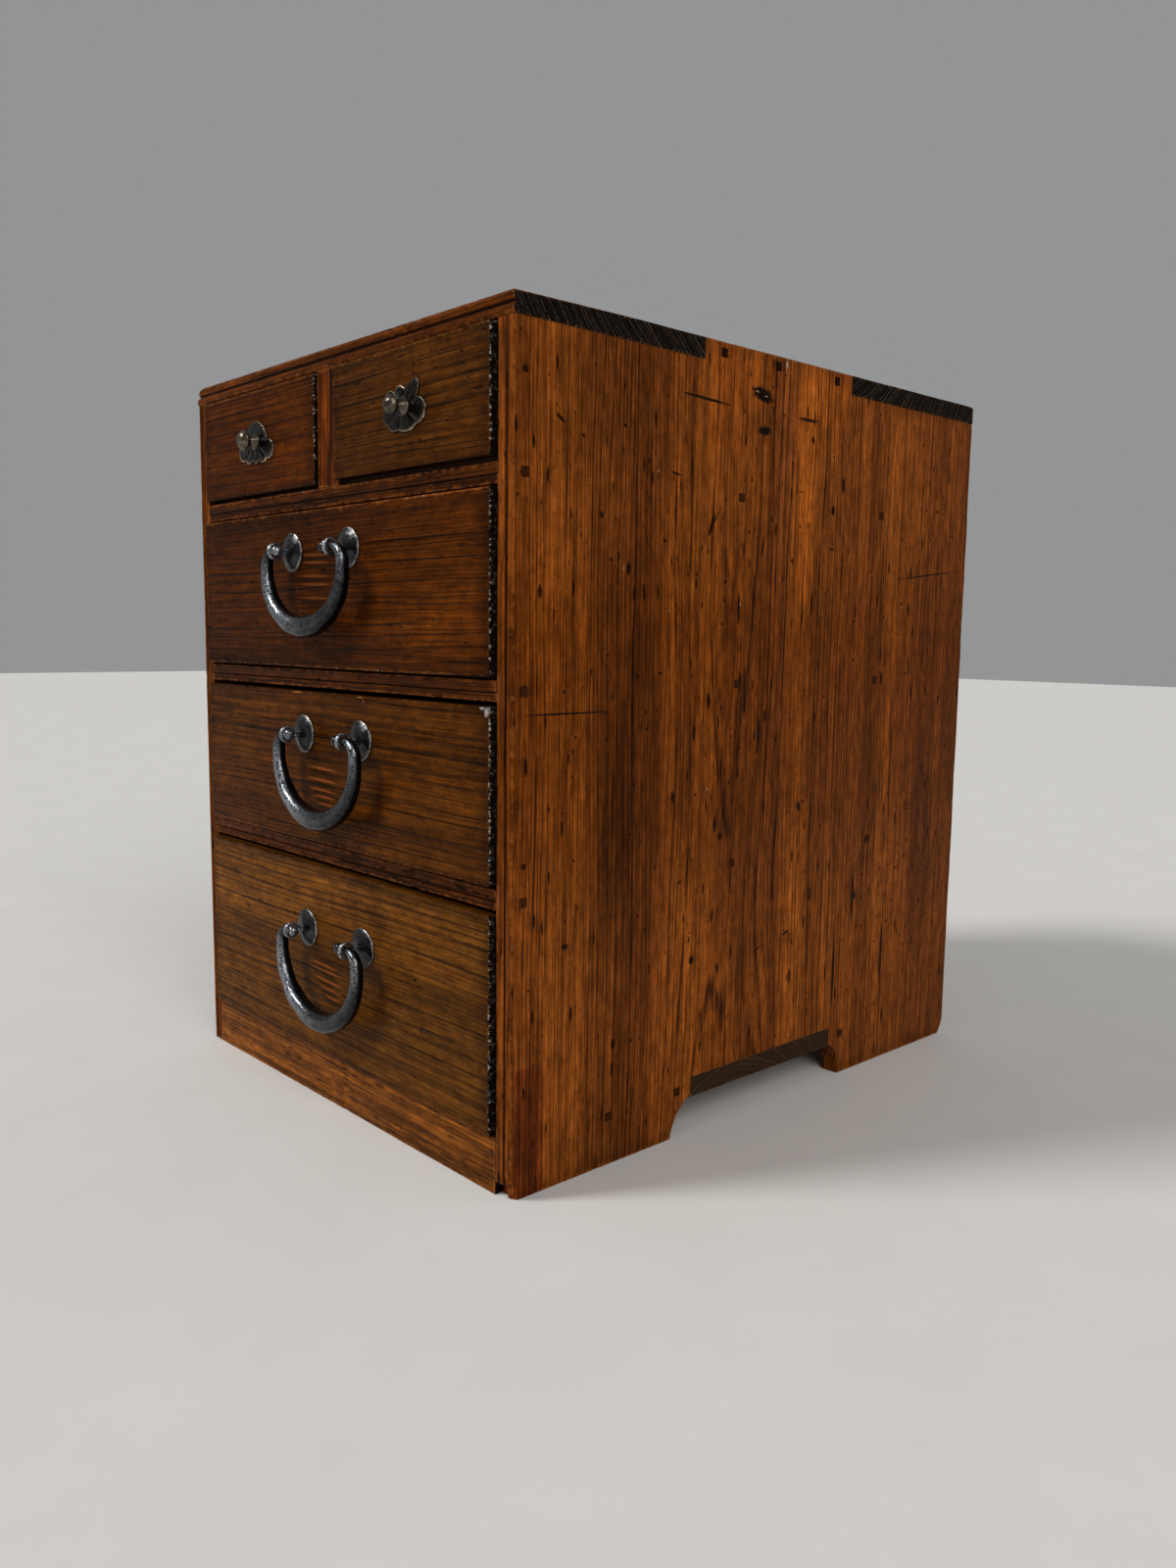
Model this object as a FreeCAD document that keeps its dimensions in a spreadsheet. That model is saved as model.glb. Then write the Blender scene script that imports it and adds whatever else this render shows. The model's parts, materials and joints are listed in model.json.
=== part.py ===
import FreeCAD, Part
import math
import os
import Sketcher
from FreeCAD import Vector

# Small Japanese chest with two small drawers over three full-width ones.
# Millimetres. X runs to the right of someone who faces the drawers, Y runs
# from the front to the back, and Z is up. The origin lies on the floor, in
# the middle of the width and of the depth with the pulls counted.

doc = FreeCAD.newDocument("small_tansu_chest")
sheet = doc.addObject("Spreadsheet::Sheet", "Sizes")

DRIVING_SIZES = (
    ("case_width", 273.0, "outside, nine sun"),
    ("case_depth", 333.0, "front frame to back, eleven sun"),
    ("case_height", 364.0, "floor to top face, twelve sun"),
    ("side_thickness", 10.2, "side boards"),
    ("top_thickness", 9.4, "top board"),
    ("bottom_thickness", 10.0, "bottom board"),
    ("back_thickness", 7.0, "back boards, set between the sides"),
    ("back_seam_drop", 25.7, "middle rail's top to the seam of the back boards"),
    ("foot_height", 17.3, "floor to the underside of the bottom board"),
    ("base_rail_height", 24.6, "front skirt, from the floor up"),
    ("rail_depth", 14.0, "front rails and stile, front to back"),
    ("rail_thickness", 8.8, "front rails, top to bottom"),
    ("small_opening", 53.6, "height for the two small drawers, top board to rail"),
    ("upper_opening", 76.5, "height for the upper large drawer, rail to rail"),
    ("middle_opening", 76.4, "height for the middle one; the lower gets the rest"),
    ("shelf_thickness", 7.0, "boards behind the front rails"),
    ("partition_thickness", 7.0, "board between the two small drawers"),
    ("stile_width", 17.6, "upright between the two small drawers"),
    ("stile_shift", -0.8, "middle of the stile from the middle of the case"),
    ("bead_radius", 2.6, "round bead along the outer front edges"),
    ("bead_wrap", 44.0, "degrees that the bead turns past its nose"),
    ("quirk_width", 0.8, "groove beside the bead"),
    ("quirk_depth", 1.3, "groove beside the bead"),
    ("strip_swell", 0.4, "how far a flat front strip swells forward"),
    ("top_strip_swell", 0.9, "the same for the lower strip of the top board"),
    ("rail_bead_height", 3.4, "lower band of a front rail"),
    ("corner_round_left", 8.5, "rounding of the top board's left front corner"),
    ("corner_round_right", 3.0, "rounding of its right front corner"),
    ("corner_fade", 70.0, "length over which a rounded corner runs out"),
    ("top_finger_start", 108.0, "front frame to the side's finger in the top"),
    ("top_finger_length", 109.0, "finger of the side that rises through the top"),
    ("bottom_tenon_start", 109.5, "front frame to the bottom board's tenon"),
    ("bottom_tenon_length", 109.0, "tenon of the bottom board through the side"),
    ("notch_front_floor", 96.3, "front frame to the front foot's end, at the floor"),
    ("notch_front_top", 107.0, "front frame to the front foot's end, at its top"),
    ("notch_front_radius", 25.0, "curve of the front foot"),
    ("notch_rear_floor", 226.9, "front frame to the rear foot, at the floor"),
    ("notch_rear_top", 219.5, "front frame to the rear foot, at its top"),
    ("notch_rear_radius", 16.0, "curve of the rear foot"),
    ("worn_foot_height", 10.5, "piece worn off the right foot's front strip"),
    ("worn_foot_depth", 5.0, "the same, front to back"),
    ("peg_size", 4.0, "square pegs of the case"),
    ("peg_bite", 9.0, "how far a peg enters the end of the second board"),
    ("top_peg_inset", 12.5, "outer pegs from the ends of the top finger"),
    ("top_peg_middle", 50.8, "middle peg from the start of the top finger"),
    ("foot_peg_front", 55.7, "front frame to the foremost peg of the foot"),
    ("foot_peg_inset", 9.5, "pegs either side of the bottom board's tenon"),
    ("rail_peg_depth", 6.2, "front frame to the pegs of the rails"),
    ("shelf_peg_front", 135.0, "front frame to the forward shelf pegs"),
    ("shelf_peg_rear", 247.0, "front frame to the rear shelf pegs"),
    ("back_peg_size", 3.0, "square pegs of the back boards"),
    ("back_peg_edge", 16.0, "back pegs from the ends of each back board"),
    ("drawer_proud", 2.5, "drawer fronts stand out from the frame"),
    ("drawer_proud_top_left", 1.2, "the same for the left small drawer"),
    ("drawer_side_gap", 0.8, "drawer front to the frame beside it"),
    ("drawer_top_gap", 1.0, "drawer front to the rail above"),
    ("drawer_foot_gap", 0.9, "drawer front to the rail below"),
    ("run_gap", 0.3, "drawer bottom over the shelf that it runs on"),
    ("drawer_rear_gap", 1.0, "drawer to the back boards when shut"),
    ("front_thickness", 11.5, "drawer fronts"),
    ("front_lip", 5.5, "drawer front that covers the ends of the sides"),
    ("body_inset", 0.4, "drawer sides inside the ends of the front"),
    ("drawer_side_thickness", 7.0, "sides of the drawers"),
    ("drawer_back_thickness", 7.0, "backs of the drawers"),
    ("drawer_bottom_thickness", 5.0, "bottoms of the drawers"),
    ("side_drop", 3.5, "drawer sides below the top of the front"),
    ("back_drop", 7.0, "drawer backs below the top of the sides"),
    ("drawer_peg_size", 2.6, "square pegs in the corners of the drawers"),
    ("drawer_peg_bite", 7.0, "how far they enter the second board"),
    ("drawer_peg_edge", 9.0, "pegs from the upper and lower edge of the side"),
    ("drawer_travel", 240.0, "how far a drawer pulls out"),
    ("eye_pitch", 51.0, "between the two eyes of a bail"),
    ("eye_standoff", 9.5, "drawer front to the middle of an eye"),
    ("eye_radius", 3.4, "middle of the eye's wire from the eye's centre"),
    ("eye_wire", 2.0, "thickness of the eye's wire"),
    ("eye_shank", 3.2, "both legs of the split pin together"),
    ("eye_leg_length", 8.5, "each leg, bent over inside the drawer"),
    ("hole_clearance", 0.05, "hole radius over the shank radius"),
    ("dome_diameter", 19.0, "round backplates"),
    ("dome_height", 3.8, "crown of a backplate over the drawer front"),
    ("dome_rim", 0.7, "edge of a backplate"),
    ("dome_wall", 1.2, "sheet of a backplate"),
    ("bail_tip_radius", 2.1, "bail where it passes the eyes"),
    ("bail_leg_radius", 3.0, "bail at the bottom of its shoulders"),
    ("bail_grip_radius", 5.4, "bail at the middle of its grip"),
    ("bail_ball_radius", 2.7, "ball on each end of the bail"),
    ("bail_tail", 3.8, "eye to the ball on the inner side"),
    ("bail_reach", 2.2, "eye to the start of the shoulder, outside"),
    ("bail_shoulder", 7.0, "radius of the shoulder"),
    ("bail_leg", 3.0, "straight leg under the shoulder"),
    ("bail_upper_drop", 36.0, "eyes to the middle of the grip, upper drawer"),
    ("bail_middle_drop", 39.0, "the same, middle drawer"),
    ("bail_lower_drop", 40.0, "the same, lower drawer"),
    ("pull_upper_x", -4.4, "middle of the bail from the middle of the case"),
    ("pull_upper_below", 19.2, "top of the drawer front down to its eyes"),
    ("pull_middle_x", 4.2, "the same, middle drawer"),
    ("pull_middle_below", 21.4, "the same, middle drawer"),
    ("pull_lower_x", 4.4, "the same, lower drawer"),
    ("pull_lower_below", 33.3, "the same, lower drawer"),
    ("knob_left_x", -66.8, "left knob from the middle of the case"),
    ("knob_right_x", 67.3, "right knob from the middle of the case"),
    ("knob_rise", 0.5, "knobs over the middle of their drawer fronts"),
    ("knob_shank_radius", 2.0, "shank of a knob"),
    ("knob_flare_radius", 4.4, "foot of a knob on its plate"),
    ("knob_neck_radius", 2.3, "neck of a knob"),
    ("knob_neck_height", 4.6, "foot to the underside of the head"),
    ("knob_head_left", 5.3, "radius of the left knob's head"),
    ("knob_head_right", 4.3, "radius of the right knob's head"),
    ("knob_head_thickness", 4.6, "head of a knob, front to back"),
    ("knob_rivet_radius", 3.6, "riveted end inside the drawer"),
    ("knob_rivet_height", 1.2, "the same, thickness"),
    ("plate_thickness", 1.2, "plates under the knobs"),
    ("plate_left_width", 36.6, "left plate"),
    ("plate_left_height", 20.8, "left plate"),
    ("plate_right_width", 32.0, "right plate"),
    ("plate_right_height", 21.6, "right plate"),
)

for row, (alias, size, note) in enumerate(DRIVING_SIZES, 1):
    sheet.set(f"A{row}", note)
    sheet.set(f"B{row}", str(size))
    sheet.setAlias(f"B{row}", alias)
doc.recompute()


def measure(expression):
    """Value of an expression on the sheet's sizes, as a plain number."""
    value = sheet.evalExpression(expression)
    return float(getattr(value, "Value", value))


# Places that several pieces share, as expressions on the sheet.
OVER = "1"  # a cutting block passes the face it opens by this much
HALF_WIDTH = "(Sizes.case_width / 2)"
INNER = "(Sizes.case_width / 2 - Sizes.side_thickness)"
PULL_REACH = (
    "(Sizes.drawer_proud + Sizes.eye_standoff + Sizes.eye_radius + Sizes.eye_wire / 2)"
)
FRONT = f"(({PULL_REACH} - Sizes.case_depth) / 2)"
BACK = f"({FRONT} + Sizes.case_depth)"
BACK_INNER = f"({BACK} - Sizes.back_thickness)"
RAIL_BACK = f"({FRONT} + Sizes.rail_depth)"
TOP = "Sizes.case_height"
TOP_UNDER = "(Sizes.case_height - Sizes.top_thickness)"
FLOOR_BOARD_TOP = "(Sizes.foot_height + Sizes.bottom_thickness)"
RAIL_TOP = {"upper": f"({TOP_UNDER} - Sizes.small_opening)"}
RAIL_TOP["middle"] = f"({RAIL_TOP['upper']} - Sizes.rail_thickness - Sizes.upper_opening)"
RAIL_TOP["lower"] = f"({RAIL_TOP['middle']} - Sizes.rail_thickness - Sizes.middle_opening)"
BACK_SEAM = f"({RAIL_TOP['middle']} - Sizes.back_seam_drop)"
RAIL_UNDER = {level: f"({top} - Sizes.rail_thickness)" for level, top in RAIL_TOP.items()}
STILE_LEFT = "(Sizes.stile_shift - Sizes.stile_width / 2)"
STILE_RIGHT = "(Sizes.stile_shift + Sizes.stile_width / 2)"
BEAD_WIDTH = "(Sizes.bead_radius * (1 + sin(Sizes.bead_wrap)))"
BEAD_END = f"({FRONT} + Sizes.bead_radius * (1 - cos(Sizes.bead_wrap)))"
QUIRK_FLOOR = f"({FRONT} + Sizes.quirk_depth)"
TOP_FINGER = f"({FRONT} + Sizes.top_finger_start)"
TOP_FINGER_END = f"({TOP_FINGER} + Sizes.top_finger_length)"
TENON = f"({FRONT} + Sizes.bottom_tenon_start)"
TENON_END = f"({TENON} + Sizes.bottom_tenon_length)"
SHANK_HOLE = "(Sizes.eye_shank / 2 + Sizes.hole_clearance)"
KNOB_HOLE = "(Sizes.knob_shank_radius + Sizes.hole_clearance)"

nodes = []


def keep(piece, label):
    """Give a finished piece the name that its file carries."""
    piece.Label = label
    nodes.append(piece)
    return piece


def block(name, x, y, z):
    """A rectangular board between three pairs of (low, high) expressions."""
    solid = doc.addObject("Part::Box", name)
    for side, (low, high) in zip(("Length", "Width", "Height"), (x, y, z)):
        solid.setExpression(side, f"{high} - {low}")
    for axis, (low, high) in zip("xyz", (x, y, z)):
        solid.setExpression(f"Placement.Base.{axis}", low)
    return solid


def square_peg(name, x, y, z, size):
    """A square peg along X, centred on y and z."""
    half = f"{size} / 2"
    return block(name, x, (f"({y} - {half})", f"({y} + {half})"), (f"({z} - {half})", f"({z} + {half})"))


def group(name, members):
    together = doc.addObject("Part::Compound", name)
    together.Links = members
    return together


def cut(name, body, tools):
    """The body less all the tools."""
    result = doc.addObject("Part::Cut", name)
    result.Base = body
    result.Tool = tools[0] if len(tools) == 1 else group(f"{name}_tools", tools)
    return result


def mirrored(name, source):
    """The source's twin on the other side of X = 0."""
    twin = doc.addObject("Part::Mirroring", name)
    twin.Source = source
    twin.Normal = Vector(1, 0, 0)
    return twin


def moved(name, members, x, y, z):
    """A group whose own place is set by three expressions."""
    together = group(name, members)
    for axis, place in zip("xyz", (x, y, z)):
        together.setExpression(f"Placement.Base.{axis}", place)
    return together


def origin_plane(body, role):
    return next(feature for feature in body.Origin.OriginFeatures if feature.Role == role)


def arc_between(start, end, radius, left_of_travel):
    """The shorter arc of one radius from start to end, and whether it runs clockwise."""
    chord = end - start
    middle = (start + end) * 0.5
    rise = max(radius * radius - chord.Length * chord.Length / 4, 0) ** 0.5
    normal = Vector(-chord.y, chord.x, 0).normalize()
    centre = middle + normal * (rise if left_of_travel else -rise)
    circle = Part.Circle(centre, Vector(0, 0, 1), radius)
    first, last = (start, end) if left_of_travel else (end, start)
    angle = circle.parameter(first)
    stop = circle.parameter(last)
    if stop < angle:
        stop = stop + 2 * math.pi
    return Part.ArcOfCircle(circle, angle, stop)


def closed_sketch(body, name, role, corners):
    """A closed outline whose corners and arc radii are bound to the sheet.

    Each corner is (x, y, bend): bend is None for a straight edge to the next
    corner, or (radius, left) for an arc with its centre left or right of it.
    """
    sketch = body.newObject("Sketcher::SketchObject", name)
    sketch.AttachmentSupport = [(origin_plane(body, role), "")]
    sketch.MapMode = "FlatFace"
    places = [Vector(measure(x), measure(y), 0) for x, y, bend in corners]
    ends = []
    for index, (x, y, bend) in enumerate(corners):
        start = places[index]
        end = places[(index + 1) % len(places)]
        if bend is None:
            sketch.addGeometry(Part.LineSegment(start, end))
            ends.append((1, 2))
        else:
            radius, left = bend
            sketch.addGeometry(arc_between(start, end, measure(radius), left))
            ends.append((1, 2) if left else (2, 1))
    for index in range(len(corners)):
        following = (index + 1) % len(corners)
        sketch.addConstraint(
            Sketcher.Constraint("Coincident", index, ends[index][1], following, ends[following][0])
        )
    for index, (x, y, bend) in enumerate(corners):
        for kind, place, value in (("DistanceX", x, places[index].x), ("DistanceY", y, places[index].y)):
            number = sketch.addConstraint(Sketcher.Constraint(kind, -1, 1, index, ends[index][0], value))
            sketch.setExpression(f"Constraints[{number}]", place)
        if bend is not None:
            number = sketch.addConstraint(Sketcher.Constraint("Radius", index, measure(bend[0])))
            sketch.setExpression(f"Constraints[{number}]", bend[0])
    return sketch


def padded(name, role, corners, length, start_axis=None, start=None):
    """A body made by padding one outline off an origin plane."""
    body = doc.addObject("PartDesign::Body", name)
    sketch = closed_sketch(body, f"{name}_outline", role, corners)
    pad = body.newObject("PartDesign::Pad", f"{name}_pad")
    pad.Profile = sketch
    pad.setExpression("Length", length)
    if start is not None:
        body.setExpression(f"Placement.Base.{start_axis}", start)
    return body


def turned(name, corners):
    """A body made by turning one outline about its own Y axis; x is the radius."""
    body = doc.addObject("PartDesign::Body", name)
    sketch = closed_sketch(body, f"{name}_outline", "XY_Plane", corners)
    spin = body.newObject("PartDesign::Revolution", f"{name}_turning")
    spin.Profile = sketch
    spin.ReferenceAxis = (sketch, ["V_Axis"])
    spin.Angle = 360
    return body


def swell_radius(chord, swell):
    """Radius of the arc on a chord that rises by the swell."""
    return f"(({chord}) ^ 2 / 4 + {swell} ^ 2) / (2 * {swell})"


# --- Pegs of the case -----------------------------------------------------

def case_pegs():
    """The square pegs of the right side, in the order top, foot, rails, shelves."""
    peg_x = (f"({INNER} - Sizes.peg_bite)", HALF_WIDTH)
    top_z = f"({TOP} - Sizes.top_thickness / 2)"
    foot_z = "(Sizes.foot_height + Sizes.bottom_thickness / 2)"
    places = [
        (f"({TOP_FINGER} + Sizes.top_peg_inset)", top_z),
        (f"({TOP_FINGER} + Sizes.top_peg_middle)", top_z),
        (f"({TOP_FINGER_END} - Sizes.top_peg_inset)", top_z),
        (f"({FRONT} + Sizes.foot_peg_front)", foot_z),
        (f"({TENON} - Sizes.foot_peg_inset)", foot_z),
        (f"({TENON_END} + Sizes.foot_peg_inset)", foot_z),
    ]
    for rail_top in RAIL_TOP.values():
        rail_z = f"({rail_top} - Sizes.rail_thickness / 2)"
        shelf_z = f"({rail_top} - Sizes.shelf_thickness / 2)"
        places.append((f"({FRONT} + Sizes.rail_peg_depth)", rail_z))
        places.append((f"({FRONT} + Sizes.shelf_peg_front)", shelf_z))
        places.append((f"({FRONT} + Sizes.shelf_peg_rear)", shelf_z))
    return [
        square_peg(f"case_peg_{count}", peg_x, y, z, "Sizes.peg_size")
        for count, (y, z) in enumerate(places)
    ]


def back_pegs():
    """Square pegs along Y through the back boards, into the floor and shelf edges."""
    half = "Sizes.back_peg_size / 2"
    peg_y = (f"({BACK_INNER} - Sizes.peg_bite)", BACK)
    heights = ["(Sizes.foot_height + Sizes.bottom_thickness / 2)"]
    heights += [f"({rail_top} - Sizes.shelf_thickness / 2)" for rail_top in RAIL_TOP.values()]
    made = []
    for count, z in enumerate(heights):
        for side, x in (("right", f"({INNER} - Sizes.back_peg_edge)"), ("middle", "(0)")):
            across = (f"({x} - {half})", f"({x} + {half})")
            upright = (f"({z} - {half})", f"({z} + {half})")
            made.append(block(f"back_peg_{side}_{count}", across, peg_y, upright))
    rights = group("back_pegs_of_the_right", made[0::2])
    return group("back_pegs_all", [rights, mirrored("back_pegs_of_the_left", rights)] + made[1::2])


pegs_right = group("case_pegs_right", case_pegs())
pegs_left = mirrored("case_pegs_left", pegs_right)
pegs = keep(group("case_pegs_all", [pegs_right, pegs_left]), "case_pegs")
rear_pegs = keep(back_pegs(), "back_pegs")


# --- Side boards ----------------------------------------------------------

def side_profile():
    """Plan of the right side board, its front edge a bead, a quirk and a strip."""
    bead_x = f"({HALF_WIDTH} - {BEAD_WIDTH})"
    strip_x = f"({bead_x} - Sizes.quirk_width)"
    strip_y = f"({FRONT} + Sizes.strip_swell)"
    strip_bend = swell_radius(f"{strip_x} - {INNER}", "Sizes.strip_swell")
    return [
        (INNER, BACK, None),
        (INNER, strip_y, (strip_bend, True)),
        (strip_x, strip_y, None),
        (strip_x, QUIRK_FLOOR, None),
        (bead_x, QUIRK_FLOOR, None),
        (bead_x, BEAD_END, ("Sizes.bead_radius", True)),
        (HALF_WIDTH, f"({FRONT} + Sizes.bead_radius)", None),
        (HALF_WIDTH, BACK, None),
    ]


def foot_notch():
    """The gap between the feet: open at the floor, its two ends curved."""
    low = f"-({OVER})"
    outline = [
        (f"({FRONT} + Sizes.notch_front_floor)", "0", ("Sizes.notch_front_radius", False)),
        (f"({FRONT} + Sizes.notch_front_top)", "Sizes.foot_height", None),
        (f"({FRONT} + Sizes.notch_rear_top)", "Sizes.foot_height", ("Sizes.notch_rear_radius", False)),
        (f"({FRONT} + Sizes.notch_rear_floor)", "0", None),
        (f"({FRONT} + Sizes.notch_rear_floor)", low, None),
        (f"({FRONT} + Sizes.notch_front_floor)", low, None),
    ]
    return padded("foot_notch", "YZ_Plane", outline, f"{HALF_WIDTH} + {OVER}")


through_side = (f"({INNER} - {OVER})", f"({HALF_WIDTH} + {OVER})")
over_top = (TOP_UNDER, f"({TOP} + {OVER})")
side_board = padded("side_board", "XY_Plane", side_profile(), TOP)
top_seat_front = block("top_seat_front", through_side, (f"({FRONT} - {OVER})", TOP_FINGER), over_top)
top_seat_rear = block("top_seat_rear", through_side, (TOP_FINGER_END, f"({BACK} + {OVER})"), over_top)
tenon_slot = block(
    "tenon_slot", through_side, (TENON, TENON_END), ("Sizes.foot_height", FLOOR_BOARD_TOP)
)
side_blank = cut(
    "side_blank", side_board, [top_seat_front, top_seat_rear, tenon_slot, foot_notch(), pegs_right]
)
side_left = keep(mirrored("side_left_board", side_blank), "case_side_left")
worn_foot = block(
    "worn_foot",
    (f"({INNER} - {OVER})", f"({HALF_WIDTH} - {BEAD_WIDTH})"),
    (f"({FRONT} - {OVER})", f"({FRONT} + Sizes.worn_foot_depth)"),
    (f"-({OVER})", "Sizes.worn_foot_height"),
)
side_right = keep(cut("side_right_board", side_blank, [worn_foot]), "case_side_right")


# --- Top board ------------------------------------------------------------

def top_profile():
    """Section of the top board, its front edge a bead over a smaller strip."""
    bead_z = f"({TOP} - {BEAD_WIDTH})"
    strip_z = f"({bead_z} - Sizes.quirk_width)"
    strip_y = f"({FRONT} + Sizes.top_strip_swell)"
    strip_bend = swell_radius(f"{strip_z} - {TOP_UNDER}", "Sizes.top_strip_swell")
    return [
        (BACK, TOP_UNDER, None),
        (BACK, TOP, None),
        (f"({FRONT} + Sizes.bead_radius)", TOP, ("Sizes.bead_radius", True)),
        (BEAD_END, bead_z, None),
        (QUIRK_FLOOR, bead_z, None),
        (QUIRK_FLOOR, strip_z, None),
        (strip_y, strip_z, (strip_bend, True)),
        (strip_y, TOP_UNDER, None),
    ]


def corner_round(name, radius, side):
    """What a worn top corner has lost: a tapering square bar less a cone.

    The rounding is widest at the front and runs out along the depth. side is
    1 for the right corner and -1 for the left one.
    """
    reach = measure(radius)
    fade = measure("Sizes.corner_fade")
    over = measure(OVER)
    front = measure(FRONT) - over
    outer = measure(HALF_WIDTH)
    top = measure(TOP)
    tiny = reach * over / fade
    full = reach + tiny

    def square(size, y):
        inner_x = side * (outer - size)
        outer_x = side * (outer + over)
        corners = [
            Vector(inner_x, y, top - size),
            Vector(outer_x, y, top - size),
            Vector(outer_x, y, top + over),
            Vector(inner_x, y, top + over),
        ]
        return Part.makePolygon(corners + corners[:1])

    def ring(size, y):
        centre = Vector(side * (outer - size), y, top - size)
        return Part.Wire([Part.Circle(centre, Vector(0, 1, 0), size).toShape()])

    bar = Part.makeLoft([square(full, front), square(tiny, front + fade)], True, True)
    cone = Part.makeLoft([ring(full, front), ring(tiny, front + fade)], True, True)
    lost = doc.addObject("Part::Feature", name)
    lost.Shape = bar.cut(cone)
    return lost


top_blank = padded("top_blank", "YZ_Plane", top_profile(), "Sizes.case_width", "x", f"-{HALF_WIDTH}")
finger_space = (TOP_FINGER, TOP_FINGER_END)
through_top = (f"({TOP_UNDER} - {OVER})", f"({TOP} + {OVER})")
finger_right = block("finger_right", (INNER, f"({HALF_WIDTH} + {OVER})"), finger_space, through_top)
finger_left = mirrored("finger_left", finger_right)
rounded = [
    corner_round("corner_left", "Sizes.corner_round_left", -1),
    corner_round("corner_right", "Sizes.corner_round_right", 1),
]
keep(cut("top_piece", top_blank, [finger_right, finger_left, pegs] + rounded), "top_board")


# --- Bottom board, rails, shelves, stile and partition --------------------

between_sides = (f"-{INNER}", INNER)
floor_z = ("Sizes.foot_height", FLOOR_BOARD_TOP)
floor_blank = block("floor_blank", between_sides, (RAIL_BACK, BACK_INNER), floor_z)
tenon_right = block("tenon_right", (f"({INNER} - {OVER})", HALF_WIDTH), (TENON, TENON_END), floor_z)
tenon_left = mirrored("tenon_left", tenon_right)
floor_whole = doc.addObject("Part::MultiFuse", "floor_whole")
floor_whole.Shapes = [floor_blank, tenon_right, tenon_left]
floor_whole.Refine = True
keep(cut("floor_piece", floor_whole, [pegs, rear_pegs]), "bottom_board")

base_rail = block("base_rail_piece", between_sides, (FRONT, RAIL_BACK), ("0", "Sizes.base_rail_height"))
keep(base_rail, "base_rail")


def rail_profile(top):
    """Section of a front rail: an upper band, a fine groove and a lower band."""
    low = f"({top} - Sizes.rail_thickness)"
    seam = f"({low} + Sizes.rail_bead_height)"
    upper = f"({seam} + Sizes.quirk_width)"
    face = f"({FRONT} + Sizes.strip_swell)"
    groove = f"({FRONT} + Sizes.quirk_depth)"
    return [
        (RAIL_BACK, low, None),
        (RAIL_BACK, top, None),
        (face, top, (swell_radius(f"{top} - {upper}", "Sizes.strip_swell"), True)),
        (face, upper, None),
        (groove, upper, None),
        (groove, seam, None),
        (face, seam, (swell_radius("Sizes.rail_bead_height", "Sizes.strip_swell"), True)),
        (face, low, None),
    ]


for level, rail_top in RAIL_TOP.items():
    rail_blank = padded(
        f"rail_{level}_blank", "YZ_Plane", rail_profile(rail_top), f"2 * {INNER}", "x", f"-{INNER}"
    )
    keep(cut(f"rail_{level}_piece", rail_blank, [pegs]), f"rail_{level}")
    shelf_z = (f"({rail_top} - Sizes.shelf_thickness)", rail_top)
    shelf_blank = block(f"shelf_{level}_blank", between_sides, (RAIL_BACK, BACK_INNER), shelf_z)
    keep(cut(f"shelf_{level}_piece", shelf_blank, [pegs, rear_pegs]), f"shelf_{level}")

small_drawer_space = (RAIL_TOP["upper"], TOP_UNDER)
stile = block("stile_piece", (STILE_LEFT, STILE_RIGHT), (FRONT, RAIL_BACK), small_drawer_space)
keep(stile, "divider_stile")
partition_x = (
    "(Sizes.stile_shift - Sizes.partition_thickness / 2)",
    "(Sizes.stile_shift + Sizes.partition_thickness / 2)",
)
keep(block("partition_piece", partition_x, (RAIL_BACK, BACK_INNER), small_drawer_space), "partition_board")


# --- Back boards ----------------------------------------------------------

back_y = (BACK_INNER, BACK)
for name, z in (
    ("back_board_lower", ("Sizes.foot_height", BACK_SEAM)),
    ("back_board_upper", (BACK_SEAM, TOP_UNDER)),
):
    back_blank = block(f"{name}_blank", between_sides, back_y, z)
    keep(cut(f"{name}_piece", back_blank, [rear_pegs]), name)


# --- Iron work ------------------------------------------------------------

def dome():
    """One round backplate: a shallow dome of sheet iron, open behind."""
    rise = "(Sizes.dome_height - Sizes.dome_rim)"
    outer = "(Sizes.dome_diameter / 2)"
    outer_bend = f"(({outer} ^ 2 + {rise} ^ 2) / (2 * {rise}))"
    inner = f"({outer} - Sizes.dome_wall)"
    hollow = "(Sizes.dome_height - Sizes.dome_wall)"
    inner_bend = f"(({inner} ^ 2 + {hollow} ^ 2) / (2 * {hollow}))"
    outer_crown = f"(-Sizes.dome_height + {outer_bend} - sqrt({outer_bend} ^ 2 - {SHANK_HOLE} ^ 2))"
    inner_crown = f"(-{hollow} + {inner_bend} - sqrt({inner_bend} ^ 2 - {SHANK_HOLE} ^ 2))"
    return turned(
        "dome",
        [
            (SHANK_HOLE, outer_crown, (outer_bend, True)),
            (outer, "(-Sizes.dome_rim)", None),
            (outer, "0", None),
            (inner, "0", (inner_bend, False)),
            (SHANK_HOLE, inner_crown, None),
        ],
    )


def rod(name, radius, length, x, y, z, axis, degrees):
    """A round bar that starts at a place and is turned about an axis."""
    bar = doc.addObject("Part::Cylinder", name)
    bar.setExpression("Radius", radius)
    bar.setExpression("Height", length)
    bar.Placement = FreeCAD.Placement(Vector(0, 0, 0), FreeCAD.Rotation(axis, degrees))
    for letter, place in zip("xyz", (x, y, z)):
        bar.setExpression(f"Placement.Base.{letter}", place)
    return bar


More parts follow.
